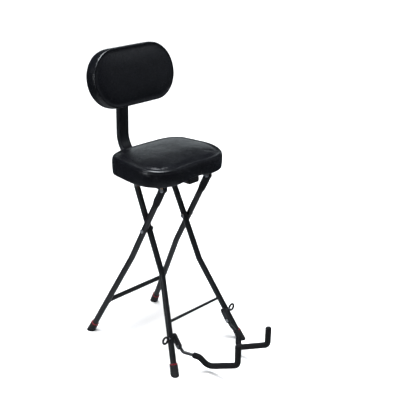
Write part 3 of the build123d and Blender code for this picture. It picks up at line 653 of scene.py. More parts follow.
def seat_rings(lp, n):
    x, y = lp[:, 0], lp[:, 1]
    zr = seat_rim(x, y)
    one = np.ones(len(lp))
    arc = np.concatenate([[0], np.cumsum(np.linalg.norm(np.diff(lp, axis=0), axis=1))])
    # creases where the front hollow begins
    front = smoothstep(-95, -118, y)
    crease = sum(np.exp(-(((x - c) / 4.6) ** 2)) for c in (-63.0, 63.0)) * front
    ripple = np.array([noise.noise(Vector((a * 0.035, 0.0, 5.0))) for a in arc])
    ripple2 = np.array([noise.noise(Vector((a * 0.11, 4.0, 5.0))) for a in arc])
    corner = np.exp(-((np.abs(np.abs(n[:, 0]) - 0.7) / 0.22) ** 2))
    pleat = np.array([math.sin(a * 0.55) + 0.5 * math.sin(a * 0.83 + 1) for a in arc]) * corner
    rows = [
        (11.0, -0.8, 0), (9.8, -0.25, 0), (8.4, 0.0, 0), (7.0, -0.2, 0), (5.4, -1.0, 0), (4.0, -2.2, 0),
        (2.8, -3.8, 0), (1.9, -5.8, 0), (1.4, -7.6, 0), (2.1, -8.6, 0),
        (1.6, -9.4, 0), (1.0, -10.6, 0.12), (0.6, -12.6, 0.4),
    ]
    out = []
    for d, dz, s in rows:
        grow = 1.0 if dz < -5 else 0.6
        out.append((d * one + crease * 1.5 * grow, zr + dz - crease * 0.5, s * one))
    wall = [(0.35, 0.74, 0.8), (0.2, 0.6, 1.0), (0.2, 0.46, 1.0), (0.35, 0.32, 0.9), (0.7, 0.2, 0.6), (1.1, 0.12, 0.3)]
    low = 575.2
    for d, t, s in wall:
        z = low + (zr - 8.0 - low) * t
        inset = d + 0.5 * ripple + 0.25 * ripple2 * (1 - t) + crease * 2.4 * min(1.0, 0.35 + t)
        out.append((np.maximum(inset, 0.0), z, s * one))
    # the lower roll hangs a little below the board, but not over the post
    hang = smoothstep(27, 40, np.abs(x))
    more = smoothstep(45, 80, np.abs(x))
    out.append((1.5 + 0.2 * ripple, 575.0 - 0.9 * hang - 1.6 * more, 0 * one))
    out.append((2.5 + 0.2 * ripple, 573.5 - 1.7 * hang - 2.2 * more, 0 * one))
    out.append((4.3 * one, 572.75 - 2.1 * hang - 2.3 * more, 0 * one))
    out.append((6.6 * one, 572.55 - 2.0 * hang - 2.0 * more - 0.25 * np.abs(pleat), 0 * one))
    out.append((9.4 * one, 572.5 - 0.9 * hang - 0.7 * more - 0.35 * np.abs(pleat), 0 * one))
    out.append((13.0 * one, 572.6 * one - 0.45 * np.abs(pleat), 0 * one))
    edge = 18.0 + 1.3 * ripple2 + 0.8 * ripple
    out.append((edge, 572.7 * one - 0.3 * np.abs(pleat), 0 * one))
    out.append((edge + 0.3, 573.1 * one, 0 * one))
    out.append((edge, 573.44 * one, 0 * one))
    out.append((6.3 * one, 573.44 * one, 0 * one))
    out.append((6.3 * one, 585.7 * one, 0 * one))
    return out


seat_nx, seat_ny = ((104, 76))
coarse_rings = [0, 3, 6, 9, 11, 13, 15, 17, 19, 20]
world, faces, seat_loop, seat_base = build_cushion(
    "seat_cover", seat_border, seat_nx, seat_ny, 12.0, seat_top, seat_rings, lambda: 585.7,
    lambda v: (v[0], v[1], v[2]), (52, 38, coarse_rings), 3.0, 3.2, 0.8)
# slight slack of the cover over the foam
for i in range(len(world)):
    x, y, z = world[i]
    if z > 612:
        w = 0.55 * noise.noise(Vector((x * 0.016, y * 0.016, 2.0))) + 0.2 * noise.noise(Vector((x * 0.045, y * 0.045, 7.0)))
        world[i][2] += w
seat_cover = mesh_object("seat_cover", world, faces, M_VINYL, "seat")
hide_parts("seat_cushion")


# ---- backrest
PAD_W, PAD_H, PAD_R = 326.0, 178.0, 88.0
PAD_MID, PAD_LEAN = (161.9, 828.0), 0.231
LEAN_C, LEAN_S = math.cos(PAD_LEAN), math.sin(PAD_LEAN)


def pill_border(uv, inset):
    r = PAD_R - inset
    hx, hz = PAD_W / 2 - PAD_R, PAD_H / 2 - PAD_R
    out = np.zeros_like(uv)
    arc = math.pi / 4 * PAD_R
    for i, (u, v) in enumerate(uv):
        if abs(v) >= abs(u) - 1e-12:
            s = abs(u) * (hx + arc)
            if s <= hx:
                p = (s, hz + r)
            else:
                a = (s - hx) / PAD_R
                p = (hx + r * math.sin(a), hz + r * math.cos(a))
            out[i] = (math.copysign(p[0], u), math.copysign(p[1], v))
        else:
            s = abs(v) * (hz + arc)
            if s <= hz:
                p = (hx + r, s)
            else:
                a = (s - hz) / PAD_R
                p = (hx + r * math.cos(a), hz + r * math.sin(a))
            out[i] = (math.copysign(p[0], u), math.copysign(p[1], v))
    return out


# height here is how far the face stands in front of the back of the board
def pad_top(x, z, d):
    return 40.2 + 2.6 * smoothstep(10, 58, d) - 1.0 * np.exp(-(((d - 13.5) / 7.5) ** 2))


def pad_rings(lp, n):
    one = np.ones(len(lp))
    arc = np.concatenate([[0], np.cumsum(np.linalg.norm(np.diff(lp, axis=0), axis=1))])
    ripple = np.array([noise.noise(Vector((a * 0.035, 9.0, 1.0))) for a in arc])
    ripple2 = np.array([noise.noise(Vector((a * 0.12, 2.0, 8.0))) for a in arc])
    corner = smoothstep(66, 100, np.abs(lp[:, 0]))
    pleat = np.array([math.sin(a * 0.5) + 0.5 * math.sin(a * 0.9 + 2) for a in arc]) * corner
    rows = [
        (7.2, 40.0, 0), (6.2, 40.5, 0), (5.2, 40.8, 0), (4.2, 40.7, 0), (3.3, 40.2, 0), (2.5, 39.4, 0),
        (1.8, 38.3, 0), (1.3, 37.0, 0), (1.5, 36.2, 0), (2.2, 35.4, 0),
        (1.8, 34.7, 0), (1.2, 33.4, 0.15), (0.6, 30.4, 0.5), (0.25, 25.8, 0.9), (0.1, 20.8, 1.0),
        (0.15, 15.8, 0.9), (0.4, 10.9, 0.6), (0.9, 6.8, 0.3), (1.6, 3.5, 0), (2.8, 1.5, 0), (4.6, 0.45, 0),
    ]
    out = []
    for d, h, s in rows:
        inset = d + (0.35 * ripple + 0.2 * ripple2) * (1 if s > 0.2 else 0.25)
        out.append((np.maximum(inset, 0.0), h * one, s * one))
    under = lambda lift: -0.65 * lift * one
    out.append((8.0 * one, under(0.9) - 0.25 * np.abs(pleat), 0 * one))
    out.append((12.0 * one, under(1.0) - 0.4 * np.abs(pleat), 0 * one))
    edge = 16.5 + 1.2 * ripple2 + 0.8 * ripple
    out.append((edge, under(0.85) - 0.25 * np.abs(pleat), 0 * one))
    out.append((edge + 0.3, under(0.4), 0 * one))
    out.append((edge, -0.03 * one, 0 * one))
    out.append((6.3 * one, -0.03 * one, 0 * one))
    out.append((6.3 * one, 9.5 * one, 0 * one))
    return out


def pad_point(x, y, z):
    """Pad coordinates: Y = 0 on its back, Z = 0 at mid height."""
    return (x, PAD_MID[0] + LEAN_C * y + LEAN_S * z, PAD_MID[1] - LEAN_S * y + LEAN_C * z)


def pad_place(v):
    return pad_point(v[0], -0.1 - v[2], v[1])


pad_nx, pad_ny = ((96, 58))
world, faces, pad_loop, pad_base = build_cushion(
    "backrest_cover", pill_border, pad_nx, pad_ny, 8.0, pad_top, pad_rings, lambda: 9.5,
    pad_place, (48, 30, [0, 3, 6, 9, 11, 12, 14, 16, 18, 20]), 3.0, 2.6, 0.8)
for i in range(len(world)):
    x, y, z = world[i]
    if (y - PAD_MID[0]) * LEAN_C - (z - PAD_MID[1]) * LEAN_S < -37.0:
        w = 0.5 * noise.noise(Vector((x * 0.018, z * 0.018, 11.0)))
        world[i][1] += w * LEAN_C
        world[i][2] -= w * LEAN_S
backrest_cover = mesh_object("backrest_cover", world, faces, M_VINYL_BACK, "backrest")
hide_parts("backrest_cushion")


# ------------------------------------------------------------------ sewing and staples
def loop_points(border_fn, inset_fn, height_fn, to3, count):
    """Even points along an offset of the outline."""
    a = np.linspace(0, 2 * math.pi, 2001)[:-1]
    uv = np.stack([np.cos(a), np.sin(a)], 1)
    uv = uv / np.abs(uv).max(1)[:, None]
    p = border_fn(uv, 8.0)
    n = loop_normals(p)
    q = p + n * (8.0 - inset_fn(p))[:, None]
    seg = np.linalg.norm(np.roll(q, -1, 0) - q, axis=1)
    s = np.concatenate([[0], np.cumsum(seg)])
    total = s[-1]
    out = []
    for k in range(count):
        t = total * k / count
        i = int(np.searchsorted(s, t, side="right") - 1) % len(q)
        f = (t - s[i]) / max(seg[i], 1e-9)
        j = (i + 1) % len(q)
        xy = q[i] * (1 - f) + q[j] * f
        out.append((xy, height_fn(xy)))
    return [Vector(to3((xy[0], xy[1], h))) for xy, h in out], total


def stitches(name, border_fn, inset, height_fn, to3, body, pitch=3.2, length=2.2, r=0.28):
    count = int(1000 / pitch)
    _, total = loop_points(border_fn, lambda p: np.full(len(p), inset), height_fn, to3, 10)
    count = int(total / pitch)
    pts, _ = loop_points(border_fn, lambda p: np.full(len(p), inset), height_fn, to3, count * 2)
    parts = []
    for k in range(count):
        a, b = pts[2 * k], pts[(2 * k + 1) % len(pts)]
        mid = (a + b) / 2
        d = (b - a).normalized() * length / 2
        parts.append(tube_geo([mid - d, mid - d * 0.6, mid, mid + d * 0.6, mid + d],
                              lambda i, ang: r * (0.45, 0.95, 1.0, 0.95, 0.45)[i], seg=6))
    v, f = join_geo(parts)
    return mesh_object(name, v, f, M_THREAD, body)


# the side band is sewn to the top just under the rolled edge
stitches("seat_seam", seat_border, 2.0, lambda p: float(seat_rim(p[0], p[1])) - 8.7,
         lambda v: v, "seat")
stitches("backrest_seam", pill_border, 2.15, lambda p: 35.3, pad_place, "backrest")


def staples(name, border_fn, inset, height, to3, body, pitch, skip):
    _, total = loop_points(border_fn, lambda p: np.full(len(p), inset), lambda p: height, to3, 10)
    count = int(total / pitch)
    pts, _ = loop_points(border_fn, lambda p: np.full(len(p), inset), lambda p: height, to3, count)
    parts = []
    for k, p in enumerate(pts):
        if skip(p):
            continue
        t = (pts[(k + 1) % count] - pts[k - 1]).normalized()
        tilt = 0.25 * jitter(k, 2)
        side = Vector(to3((0, 0, 0))) - Vector(to3((0, 0, -1)))
        t = (Matrix.Rotation(tilt, 3, side) @ t).normalized()
        a, b = p - t * 5.0, p + t * 5.0
        parts.append(tube_geo([a + side * 0.6, a + side * 0.1, a - side * 0.25, p - side * 0.3, b - side * 0.25, b + side * 0.1, b + side * 0.6], 0.45, seg=8))
    v, f = join_geo(parts)
    return mesh_object(name, v, f, M_STAPLE, body)


staples("seat_staples", seat_border, 12.5, 571.9, lambda v: v, "seat", 21.0, lambda p: False)
staples("backrest_staples", pill_border, 12.0, -1.1, pad_place, "backrest", 23.0, lambda p: False)

# ------------------------------------------------------------------ foam sleeves
ARM_PIVOT = (-172.0, 74.0)


def foam_path(s):
    p1 = (s * 110.8, -187.0, 59.0)
    p2 = (s * 92.0, -238.0, 55.0)
    first = tuple(a + (b - a) * 0.62 for a, b in zip(p1, p2))
    if s < 0:
        return [first, p2, (-67.0, -250.0, 17.5), (-67.0, -365.2, 69.0), (-67.0, -365.2, 130.2)]
    return [first, p2, (69.0, -250.0, 25.0), (69.0, -367.0, 81.5), (69.0, -367.0, 136.4)]


for s, tag in ((-1, "left"), (1, "right")):
    path = filleted(foam_path(s), (14.0, 20.0, 20.0), 1.5)
    n = len(path)
    tip = [path[-1] + Vector((0, 0, h)) for h in (1.3, 2.6, 3.7, 4.6, 5.2, 5.45)]
    tip_r = [9.4, 9.25, 8.75, 7.8, 6.3, 5.1]
    path = path + tip

    def foam_r(i, a, n=n, s=s):
        if i >= n:
            r = tip_r[i - n]
        else:
            r = 9.4
            if i < 3:
                r = (8.5, 9.1, 9.35)[i]
        w = noise.noise(Vector((i * 0.21 + 30 * s, math.cos(a) * 1.3, math.sin(a) * 1.3)))
        w2 = noise.noise(Vector((i * 0.9 + 30 * s, math.cos(a) * 4.0, math.sin(a) * 4.0)))
        return r + 0.16 * w + 0.07 * w2 - 0.05

    outer = tube_geo(path, foam_r, seg=40, cap=False)
    v, f = outer
    seg = 40
    m = len(path)
    # closed round end
    v.append(path[-1] + Vector((0, 0, 0.12)))
    e = len(v) - 1
    for k in range(seg):
        f.append((e, (m - 1) * seg + k, (m - 1) * seg + (k + 1) % seg))
    # cut end: a flat ring round the rod and a short way into the bore
    c = path[0]
    t = (path[1] - path[0]).normalized()
    base = len(v)
    for dist, r in ((0.0, 5.25), (3.0, 5.1)):
        for k in range(seg):
            d = (v[k] - c).normalized()
            v.append(c + t * dist + d * r)
    for k in range(seg):
        k2 = (k + 1) % seg
        f.append((k, k2, base + k2, base + k))
        f.append((base + k, base + k2, base + seg + k2, base + seg + k))
    v.append(c + t * 3.0)
    e = len(v) - 1
    for k in range(seg):
        f.append((e, base + seg + k, base + seg + (k + 1) % seg))
    sleeve = mesh_object("foam_sleeve_" + tag, v, f, M_FOAM, tag + "_cradle_arm", sharp=50)
    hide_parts("cradle_foam_" + tag)


# ------------------------------------------------------------------ fasteners
def button_head(origin, axis, head_r, head_h, shank_r, length, af, tip=0.8):
    """Bolt with a domed head along axis, its shank running the other way."""
    rings = [(-length, shank_r - tip), (-length + tip, shank_r)]
    # thread near the tip
    pitch = 1.0
    h = -length + tip
    end = min(-0.5, -length + 10.0)
    while h + pitch < end:
        rings += [(h + 0.25 * pitch, shank_r - 0.28), (h + 0.5 * pitch, shank_r - 0.28), (h + 0.8 * pitch, shank_r)]
        h += pitch
    rings += [(0.0, shank_r), (0.0, head_r - 0.35), (0.25, head_r), (head_h * 0.3, head_r)]
    steps = 7
    for k in range(1, steps + 1):
        a = (math.pi / 2) * k / steps * 0.93
        rings.append((head_h * 0.3 + head_h * 0.7 * math.sin(a), (head_r - af * 0.62) * math.cos(a) + af * 0.62))
    top = rings[-1][0]
    hx = hexagon(af)
    rings += [(top, lambda a: hx(a) + 0.12), (top - 0.15, hx), (top - head_h * 0.55, hx), (top - head_h * 0.62, af * 0.3)]
    return lathe_geo(origin, axis, rings, 60)


def pan_screw(origin, axis, head_r, head_h, shank_r, length):
    cross = lambda a: 0.75 + 1.15 * abs(math.cos(2 * a)) ** 5
    rings = [(-length, 0.25), (-length + 2.2, shank_r)]
    h = -length + 2.2
    while h + 1.6 < -0.6:
        rings += [(h + 0.5, shank_r - 0.45), (h + 1.1, shank_r - 0.45), (h + 1.35, shank_r)]
        h += 1.6
    rings += [(0.0, shank_r), (0.0, head_r - 0.25), (0.3, head_r), (head_h * 0.45, head_r)]
    for k in range(1, 5):
        a = (math.pi / 2) * k / 4 * 0.8
        rings.append((head_h * (0.45 + 0.55 * math.sin(a)), head_r * (0.42 + 0.58 * math.cos(a))))
    top = rings[-1][0]
    rings += [(top, cross), (top - head_h * 0.6, lambda a: cross(a) * 0.55)]
    return lathe_geo(origin, axis, rings, 48)


PIV_Y, PIV_Z = -10.1431, 398.4991
REAR_OUT = 98.5 + 9.525
v, f = join_geo([button_head((s * (REAR_OUT + 0.02), PIV_Y, PIV_Z), (s, 0, 0), 6.4, 3.4, 3.0, 45.9, 3.6) for s in (-1, 1)])
FRONT_IN = 77.24 - 9.525 - 0.3
o = mesh_object("pivot_bolt_detail", v, f, M_STEEL, "rear_frame", sharp=32)
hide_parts("frame_pivot_bolts")

SEAT_PIV = (-87.4, 548.0)
v, f = join_geo([button_head((s * 101.02, SEAT_PIV[0], SEAT_PIV[1]), (s, 0, 0), 7.4, 4.2, 4.0, 15.8, 4.6) for s in (-1, 1)])
o = mesh_object("seat_bolt_detail", v, f, M_STEEL, "rear_frame", sharp=32)
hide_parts("seat_pivot_bolts")

v, f = join_geo([button_head((0, 195.02, bz), (0, 1, 0), 6.5, 3.4, 3.0, 26.9, 3.7) for bz in (796.0, 838.0)])
o = mesh_object("back_bolt_detail", v, f, M_STEEL, "backrest", sharp=32)
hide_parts("backrest_bolts")

screws = []
for sx in (-1, 1):
    screws += [(sx * 80.0, -94.0), (sx * 80.0, -54.0), (sx * 33.0, -78.0), (sx * 33.0, 5.0), (sx * 56.0, 45.0), (sx * 56.0, 66.0)]
v, f = join_geo([pan_screw((x, y, 570.98), (0, 0, -1), 3.9, 2.2, 2.0, 11.4) for x, y in screws])
o = mesh_object("seat_screw_detail", v, f, M_STEEL, "seat", sharp=32)
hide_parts("seat_screws")
v, f = join_geo([pan_screw(pad_point(sx * 31.0, 2.47, sz * 25.0), (0, LEAN_C, -LEAN_S), 3.9, 2.0, 2.0, 11.0)
                 for sx in (-1, 1) for sz in (-1, 1)])
o = mesh_object("back_screw_detail", v, f, M_STEEL, "backrest", sharp=32)
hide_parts("backrest_screws")


def lock_nut(origin, axis, af, length, bore, flange):
    hx = hexagon(af)
    circ = lambda r: r
    rings = [(0.0, bore), (0.0, flange), (1.25, flange), (1.3, lambda a: min(hx(a), af / 2 + 0.1)),
             (1.7, hx), (length * 0.72, hx), (length * 0.76, lambda a: min(hx(a), af / 2 + 0.05)),
             (length * 0.8, af / 2 - 0.5), (length * 0.96, af / 2 - 0.6), (length, af / 2 - 1.1),
             (length, bore + 0.2), (length * 0.7, bore + 0.05)]
    return lathe_geo(origin, axis, rings, 60)


v, f = join_geo([lock_nut((s * FRONT_IN, PIV_Y, PIV_Z), (-s, 0, 0), 10.0, 4.6, 3.05, 7.0) for s in (-1, 1)])
o = mesh_object("pivot_nut_detail", v, f, M_STEEL, "rear_frame", sharp=32)
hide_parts("frame_pivot_nuts")
PLATE_X0 = 98.5 - 2.5 - 0.3 - 2.5
v, f = join_geo([lock_nut((s * (PLATE_X0 - 0.3), SEAT_PIV[0], SEAT_PIV[1]), (-s, 0, 0), 13.0, 8.1, 4.05, 8.0) for s in (-1, 1)])
o = mesh_object("seat_nut_detail", v, f, M_STEEL, "rear_frame", sharp=32)
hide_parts("seat_pivot_nuts")
v, f = join_geo([lock_nut((0, 174.48, bz), (0, -1, 0), 10.0, 5.0, 3.05, 5.0) for bz in (796.0, 838.0)])
o = mesh_object("back_nut_detail", v, f, M_STEEL, "backrest", sharp=32)
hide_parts("backrest_nuts")

# ------------------------------------------------------------------ clamp knob
RECV_BOTTOM = 562.8 - 9.2 - 1.5
KNOB_TOP, KNOB_BOTTOM, KNOB_Y = RECV_BOTTOM - 4.5, 539.0, -45.0


def lobes(r, depth):
    def out(a):
        c = math.cos(6 * a)
        return r + depth * (c if c > 0 else c * 0.75)
    return out


H = KNOB_TOP - KNOB_BOTTOM
rings = [(0.0, 4.1), (0.0, 9.0), (0.25, 9.6), (0.3, lobes(15.2, 1.2)), (0.7, lobes(17.3, 2.1)), (1.7, lobes(18.4, 2.4)),
         (H * 0.5, lobes(18.6, 2.45)), (H - 2.6, lobes(18.3, 2.4)), (H - 1.2, lobes(17.5, 2.2)), (H - 0.3, lobes(16.0, 1.6)), (H, lobes(14.5, 1.0)),
         (H, 12.2), (H - 0.9, 11.4), (H - 1.0, 6.2), (H - 0.5, 5.6), (H - 0.5, 2.0)]
v, f = lathe_geo((0, KNOB_Y, KNOB_TOP), (0, 0, -1), rings, 144)
o = mesh_object("knob_detail", v, f, M_KNOB, "clamp", sharp=38)
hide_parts("clamp_knob")


# ------------------------------------------------------------------ weld beads
def bead_between(bar_r, bar_yz, leg_a, leg_b, leg_r, s, name, body, size=1.5):
    """A weld round a bar along X where it meets a slanting leg."""
    a, b = Vector(leg_a), Vector(leg_b)
    d = (b - a).normalized()
    pts = []
    count = 96
    for k in range(count):
        ph = 2 * math.pi * k / count
        y, z = bar_yz[0] + bar_r * math.cos(ph), bar_yz[1] + bar_r * math.sin(ph)
        # distance of (x, y, z) from the leg's axis equals leg_r, on the inner side
        base = Vector((0, y, z)) - a
        ux = Vector((1, 0, 0))
        u_p = ux - d * ux.dot(d)
        b_p = base - d * base.dot(d)
        qa, qb, qc = u_p.dot(u_p), 2 * u_p.dot(b_p), b_p.dot(b_p) - leg_r ** 2
        disc = max(qb * qb - 4 * qa * qc, 0.0)
        roots = [(-qb - math.sqrt(disc)) / (2 * qa), (-qb + math.sqrt(disc)) / (2 * qa)]
        x = min(roots, key=abs)
        p = Vector((x, y, z))
        out = Vector((0, math.cos(ph), math.sin(ph)))
        pts.append(p - ux * s * 0.25 + out * 0.2)
    phase = 3.0 if s > 0 else 0.0

    def r(i, ang):
        rip = 0.16 * math.sin(i * 2 * math.pi / 96 * 26 + phase) + 0.12 * noise.noise(Vector((i * 0.3, phase, 0)))
        return size + rip

    v, f = tube_geo(pts, r, seg=12, closed=True)
    return mesh_object(name, v, f, M_FRAME, body)


def lerp3(a, b, t):
    return tuple(p + (q - p) * t for p, q in zip(a, b))


for s, tag in ((-1, "left"), (1, "right")):
    rf0, rf1 = (s * 143.9, 195.5, 0.0), (s * 98.5, 43.6, 294.5)
    p = lerp3(rf0, rf1, 121.9 / 294.5)
    bead_between(7.6, (p[1], p[2]), rf0, rf1, 9.525, s, "rear_bar_weld_" + tag, "rear_frame", 1.6)
    ff0, ff1 = (s * 153.2, -195.5, 0.0), (s * 82.2, -71.1, 267.1)
    p = lerp3(ff0, ff1, 140.0 / 267.1)
    bead_between(4.5, (p[1], p[2]), ff0, ff1, 9.525, s, "front_rod_weld_" + tag, "front_frame", 1.3)

# welds of the post sleeve to its two cross plates
for k, ty in enumerate((-78.0, 5.0)):
    parts = []
    for sx in (-1, 1):
        line = [Vector((sx * 21.5, ty - 9.0 + 18.0 * j / 24, 570.4)) for j in range(25)]
        parts.append(tube_geo(line, lambda i, a: 1.25 + 0.12 * math.sin(i * 1.9), seg=10))
    v, f = join_geo(parts)
    mesh_object("sleeve_weld_%d" % (k + 1), v, f, M_BRACKET, "seat")

# ------------------------------------------------------------------ feet: tread and moulded ribs
RF_FOOT, RF_BEND = (143.9, 195.5, 0.0), (98.5, 43.6, 294.5)
FF_FOOT, FF_BEND = (153.2, -195.5, 0.0), (82.2, -71.1, 267.1)


def foot_geo(foot, bend):
    """A moulded boot: grooved wall, cut level at the floor, with a ringed sole."""
    f0 = Vector(foot)
    d = (Vector(bend) - f0).normalized()
    x, y, z = frame_axes(d)
    seg = 72
    prof = [(-9.0, 13.6), (-5.6, 13.55), (-3.6, 13.5), (-1.6, 13.45), (0.3, 13.4), (2.0, 13.3), (4.0, 13.2), (4.7, 12.65), (6.0, 12.6), (6.7, 13.05), (9.0, 13.0), (9.7, 12.45), (11.0, 12.4), (11.7, 12.85),
            (18.0, 12.6), (26.5, 12.2), (27.4, 12.45), (30.4, 12.4), (31.4, 12.0), (31.95, 11.3), (32.0, 9.62)]
    verts, faces = [], []
    for h, r in prof:
        for k in range(seg):
            a = 2 * math.pi * k / seg
            p = f0 + d * h + (x * math.cos(a) + y * math.sin(a)) * r
            if p.z < 0.0:
                # slide the point along the boot's axis onto the floor
                p = p - d * (p.z / d.z)
            if p.z < 3.0:
                # the edge of the sole is rounded
                mid = f0 + d * (p.z / d.z)
                k2 = 1.0 - 0.08 * (1.0 - p.z / 3.0) ** 2.0
                p = Vector((mid.x + (p.x - mid.x) * k2, mid.y + (p.y - mid.y) * k2, p.z))
            verts.append(p)
    n = len(prof)
    for j in range(n - 1):
        for k in range(seg):
            k2 = (k + 1) % seg
            q = (j * seg + k, j * seg + k2, (j + 1) * seg + k2, (j + 1) * seg + k)
            faces.append(q)
    # sole: rings pressed a little into the underside
    c = Vector((f0.x, f0.y, 0.0))
    prev = list(range(seg))
    for t, lift in ((0.9, 0.0), (0.86, 0.9), (0.72, 0.9), (0.68, 0.0), (0.46, 0.0), (0.42, 0.9), (0.2, 0.9)):
        base = len(verts)
        for k in range(seg):
            p = verts[k]
            verts.append(Vector((c.x + (p.x - c.x) * t, c.y + (p.y - c.y) * t, lift)))
        for k in range(seg):
            k2 = (k + 1) % seg
            faces.append((prev[k2], prev[k], base + k, base + k2))
        prev = list(range(base, base + seg))
    verts.append(Vector((c.x, c.y, 0.9)))
    e = len(verts) - 1
    for k in range(seg):
        faces.append((prev[(k + 1) % seg], prev[k], e))
    # inside, down to the tube's end
    base = len(verts)
    for k in range(seg):
        a = 2 * math.pi * k / seg
        verts.append(f0 + d * 7.2 + (x * math.cos(a) + y * math.sin(a)) * 9.62)
    top = (n - 1) * seg
    for k in range(seg):
        k2 = (k + 1) % seg
        faces.append((top + k, top + k2, base + k2, base + k))
    verts.append(f0 + d * 7.2)
    e = len(verts) - 1
    for k in range(seg):
        faces.append((base + k, base + (k + 1) % seg, e))
    return verts, faces


for s, tag in ((-1, "left"), (1, "right")):
    for (foot, bend, where) in ((RF_FOOT, RF_BEND, "rear"), (FF_FOOT, FF_BEND, "front")):
        v, f = foot_geo((s * foot[0], foot[1], foot[2]), (s * bend[0], bend[1], bend[2]))
        o = mesh_object("%s_boot_%s" % (where, tag), v, f, M_RUBBER, where + "_frame", sharp=38)
        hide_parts("%s_foot_%s" % (where, tag))

# ------------------------------------------------------------------ stage, light and camera
scene = bpy.context.scene
scene.view_settings.view_transform = "Standard"
scene.view_settings.look = "None"

fm = Shade("studio_floor", (0.9, 0.9, 0.905), 0.2)
fm.p.inputs["Specular IOR Level"].default_value = 0.5
fm.rough(fm.span(fm.noise(6.0, 3.0), 0.3, 0.7, 0.16, 0.22))
me = bpy.data.meshes.new("floor")
me.from_pydata([(-30, -30, -0.0005), (30, -30, -0.0005), (30, 30, -0.0005), (-30, 30, -0.0005)], [], [(0, 1, 2, 3)])
me.materials.append(fm.m)
floor = bpy.data.objects.new("floor", me)
scene.collection.objects.link(floor)
floor.visible_glossy = False

# a white surround far behind everything
sm = bpy.data.materials.new("studio_surround")
sm.use_nodes = True
sm.node_tree.nodes.clear()
glow = sm.node_tree.nodes.new("ShaderNodeEmission")
glow.inputs["Color"].default_value = (1, 1, 1, 1)
glow.inputs["Strength"].default_value = 1.05
sout = sm.node_tree.nodes.new("ShaderNodeOutputMaterial")
sm.node_tree.links.new(glow.outputs[0], sout.inputs["Surface"])
dome_v, dome_f = [], []
for j in range(13):
    e = math.radians(-6 + 96 * j / 12)
    for k in range(48):
        a = 2 * math.pi * k / 48
        dome_v.append((29 * math.cos(e) * math.cos(a), 29 * math.cos(e) * math.sin(a), 29 * math.sin(e)))
for j in range(12):
    for k in range(48):
        dome_f.append((j * 48 + k, j * 48 + (k + 1) % 48, (j + 1) * 48 + (k + 1) % 48, (j + 1) * 48 + k))
me = bpy.data.meshes.new("surround")
me.from_pydata(dome_v, [], dome_f)
me.materials.append(sm)
surround = bpy.data.objects.new("surround", me)
scene.collection.objects.link(surround)
surround.visible_diffuse = False
surround.visible_glossy = False
surround.visible_transmission = False
surround.visible_shadow = False

world_ = scene.world or bpy.data.worlds.new("studio")
scene.world = world_
world_.use_nodes = True
world_.node_tree.nodes["Background"].inputs[0].default_value = (0.72, 0.84, 1.08, 1)
world_.node_tree.nodes["Background"].inputs[1].default_value = 0.06


def area(name, at, look, size, radiance, size_y):
    l = bpy.data.lights.new(name, "AREA")
    l.shape = "RECTANGLE"
    l.size = size
    l.size_y = size_y
    l.energy = radiance * math.pi * size * size_y
    l.color = (0.93, 0.985, 1.03)
    o = bpy.data.objects.new(name, l)
    scene.collection.objects.link(o)
    o.location = at
    o.rotation_euler = (Vector(look) - Vector(at)).to_track_quat("-Z", "Y").to_euler()
    o.visible_camera = False
    return o


sun = bpy.data.lights.new("top_light", "SUN")
sun.energy = 6.0
sun.angle = math.radians(60)
sun_o = bpy.data.objects.new("top_light", sun)
scene.collection.objects.link(sun_o)
sun_o.rotation_euler = (Vector((0.18, 0.1, -1.0))).to_track_quat("-Z", "Y").to_euler()
sun_o.visible_glossy = False

# a tall white flat behind the stool, bright below and fading upwards
gm = bpy.data.materials.new("studio_flat")
gm.use_nodes = True
gt = gm.node_tree
gt.nodes.clear()
gco = gt.nodes.new("ShaderNodeTexCoord")
gsep = gt.nodes.new("ShaderNodeSeparateXYZ")
gt.links.new(gco.outputs["Object"], gsep.inputs["Vector"])
grey = gt.nodes.new("ShaderNodeValToRGB")
grey.color_ramp.interpolation = "EASE"
FLAT_FADE = [(0.0, 0.6), (0.34, 0.55), (0.5, 0.27), (0.6, 0.09), (0.7, 0.02), (0.85, 0.0)]
while len(grey.color_ramp.elements) < len(FLAT_FADE):
    grey.color_ramp.elements.new(0.5)
for el, (pos, val) in zip(grey.color_ramp.elements, FLAT_FADE):
    el.position = pos
    el.color = (val * 0.91, val, val * 1.05, 1)
gdiv = gt.nodes.new("ShaderNodeMath")
gdiv.operation = "DIVIDE"
gdiv.inputs[1].default_value = 3.4
gt.links.new(gsep.outputs["Z"], gdiv.inputs[0])
gt.links.new(gdiv.outputs[0], grey.inputs["Fac"])
gside = gt.nodes.new("ShaderNodeMapRange")
gside.interpolation_type = "SMOOTHSTEP"
gside.inputs["From Min"].default_value = 2.2
gside.inputs["From Max"].default_value = 1.2
gabs = gt.nodes.new("ShaderNodeMath")
gabs.operation = "ABSOLUTE"
gt.links.new(gsep.outputs["X"], gabs.inputs[0])
gt.links.new(gabs.outputs[0], gside.inputs["Value"])
gem = gt.nodes.new("ShaderNodeEmission")
gt.links.new(grey.outputs["Color"], gem.inputs["Color"])
gt.links.new(gside.outputs["Result"], gem.inputs["Strength"])
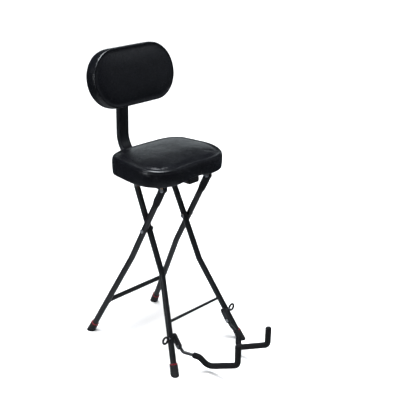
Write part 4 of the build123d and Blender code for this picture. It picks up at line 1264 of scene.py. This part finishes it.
gout = gt.nodes.new("ShaderNodeOutputMaterial")
gt.links.new(gem.outputs[0], gout.inputs["Surface"])
me = bpy.data.meshes.new("back_flat")
me.from_pydata([(-2.2, 0, 0.0), (2.2, 0, 0.0), (2.2, 0, 3.4), (-2.2, 0, 3.4)], [], [(0, 1, 2, 3)])
me.materials.append(gm)
flat = bpy.data.objects.new("back_flat", me)
scene.collection.objects.link(flat)
flat.location = (3.49, 2.58, 0.3)
flat.rotation_euler = (0, 0, math.atan2(2.95, 3.15) + math.pi / 2)
flat.visible_camera = False
flat.visible_shadow = False

area("top_box", (-0.1, -0.1, 3.1), (-0.1, -0.1, 0.6), 1.1, 28.0, 1.1)
area("front_flat", (2.2, -1.72, 1.3), (0, 0, 0.7), 2.0, 0.095, 1.6)
area("bend_box", (2.35, -1.95, 2.1), (0, 0.25, 0.66), 0.7, 1.0, 0.7)
area("floor_card", (-0.15, -0.1, 0.004), (-0.15, -0.1, 2.0), 1.4, 0.36, 1.7)
area("left_box", (-2.0, 2.3, 2.1), (0, 0, 0.75), 0.5, 0.6, 0.8)
area("left_strip", (-2.5, 0.1, 1.4), (0, 0.05, 0.85), 0.35, 16.0, 0.75)

yaw, pitch, roll = 0.831914, 0.365859, 0.0165835
f_ = Vector((math.sin(yaw) * math.cos(pitch), math.cos(yaw) * math.cos(pitch), -math.sin(pitch)))
r0 = Vector((math.cos(yaw), -math.sin(yaw), 0))
u0 = r0.cross(f_)
r_ = r0 * math.cos(roll) + u0 * math.sin(roll)
u_ = -r0 * math.sin(roll) + u0 * math.cos(roll)
cam = bpy.data.cameras.new("camera")
cam.sensor_width = 36.0
cam.sensor_fit = "HORIZONTAL"
cam.lens = 36.0 * 894.72 / 400.0
cam.clip_end = 100
cam_o = bpy.data.objects.new("camera", cam)
scene.collection.objects.link(cam_o)
rot = Matrix((r_, u_, -f_)).transposed()
cam_o.matrix_world = Matrix.Translation(Vector(place((-1815.68, -1799.42, 1447.66)))) @ rot.to_4x4()
scene.camera = cam_o
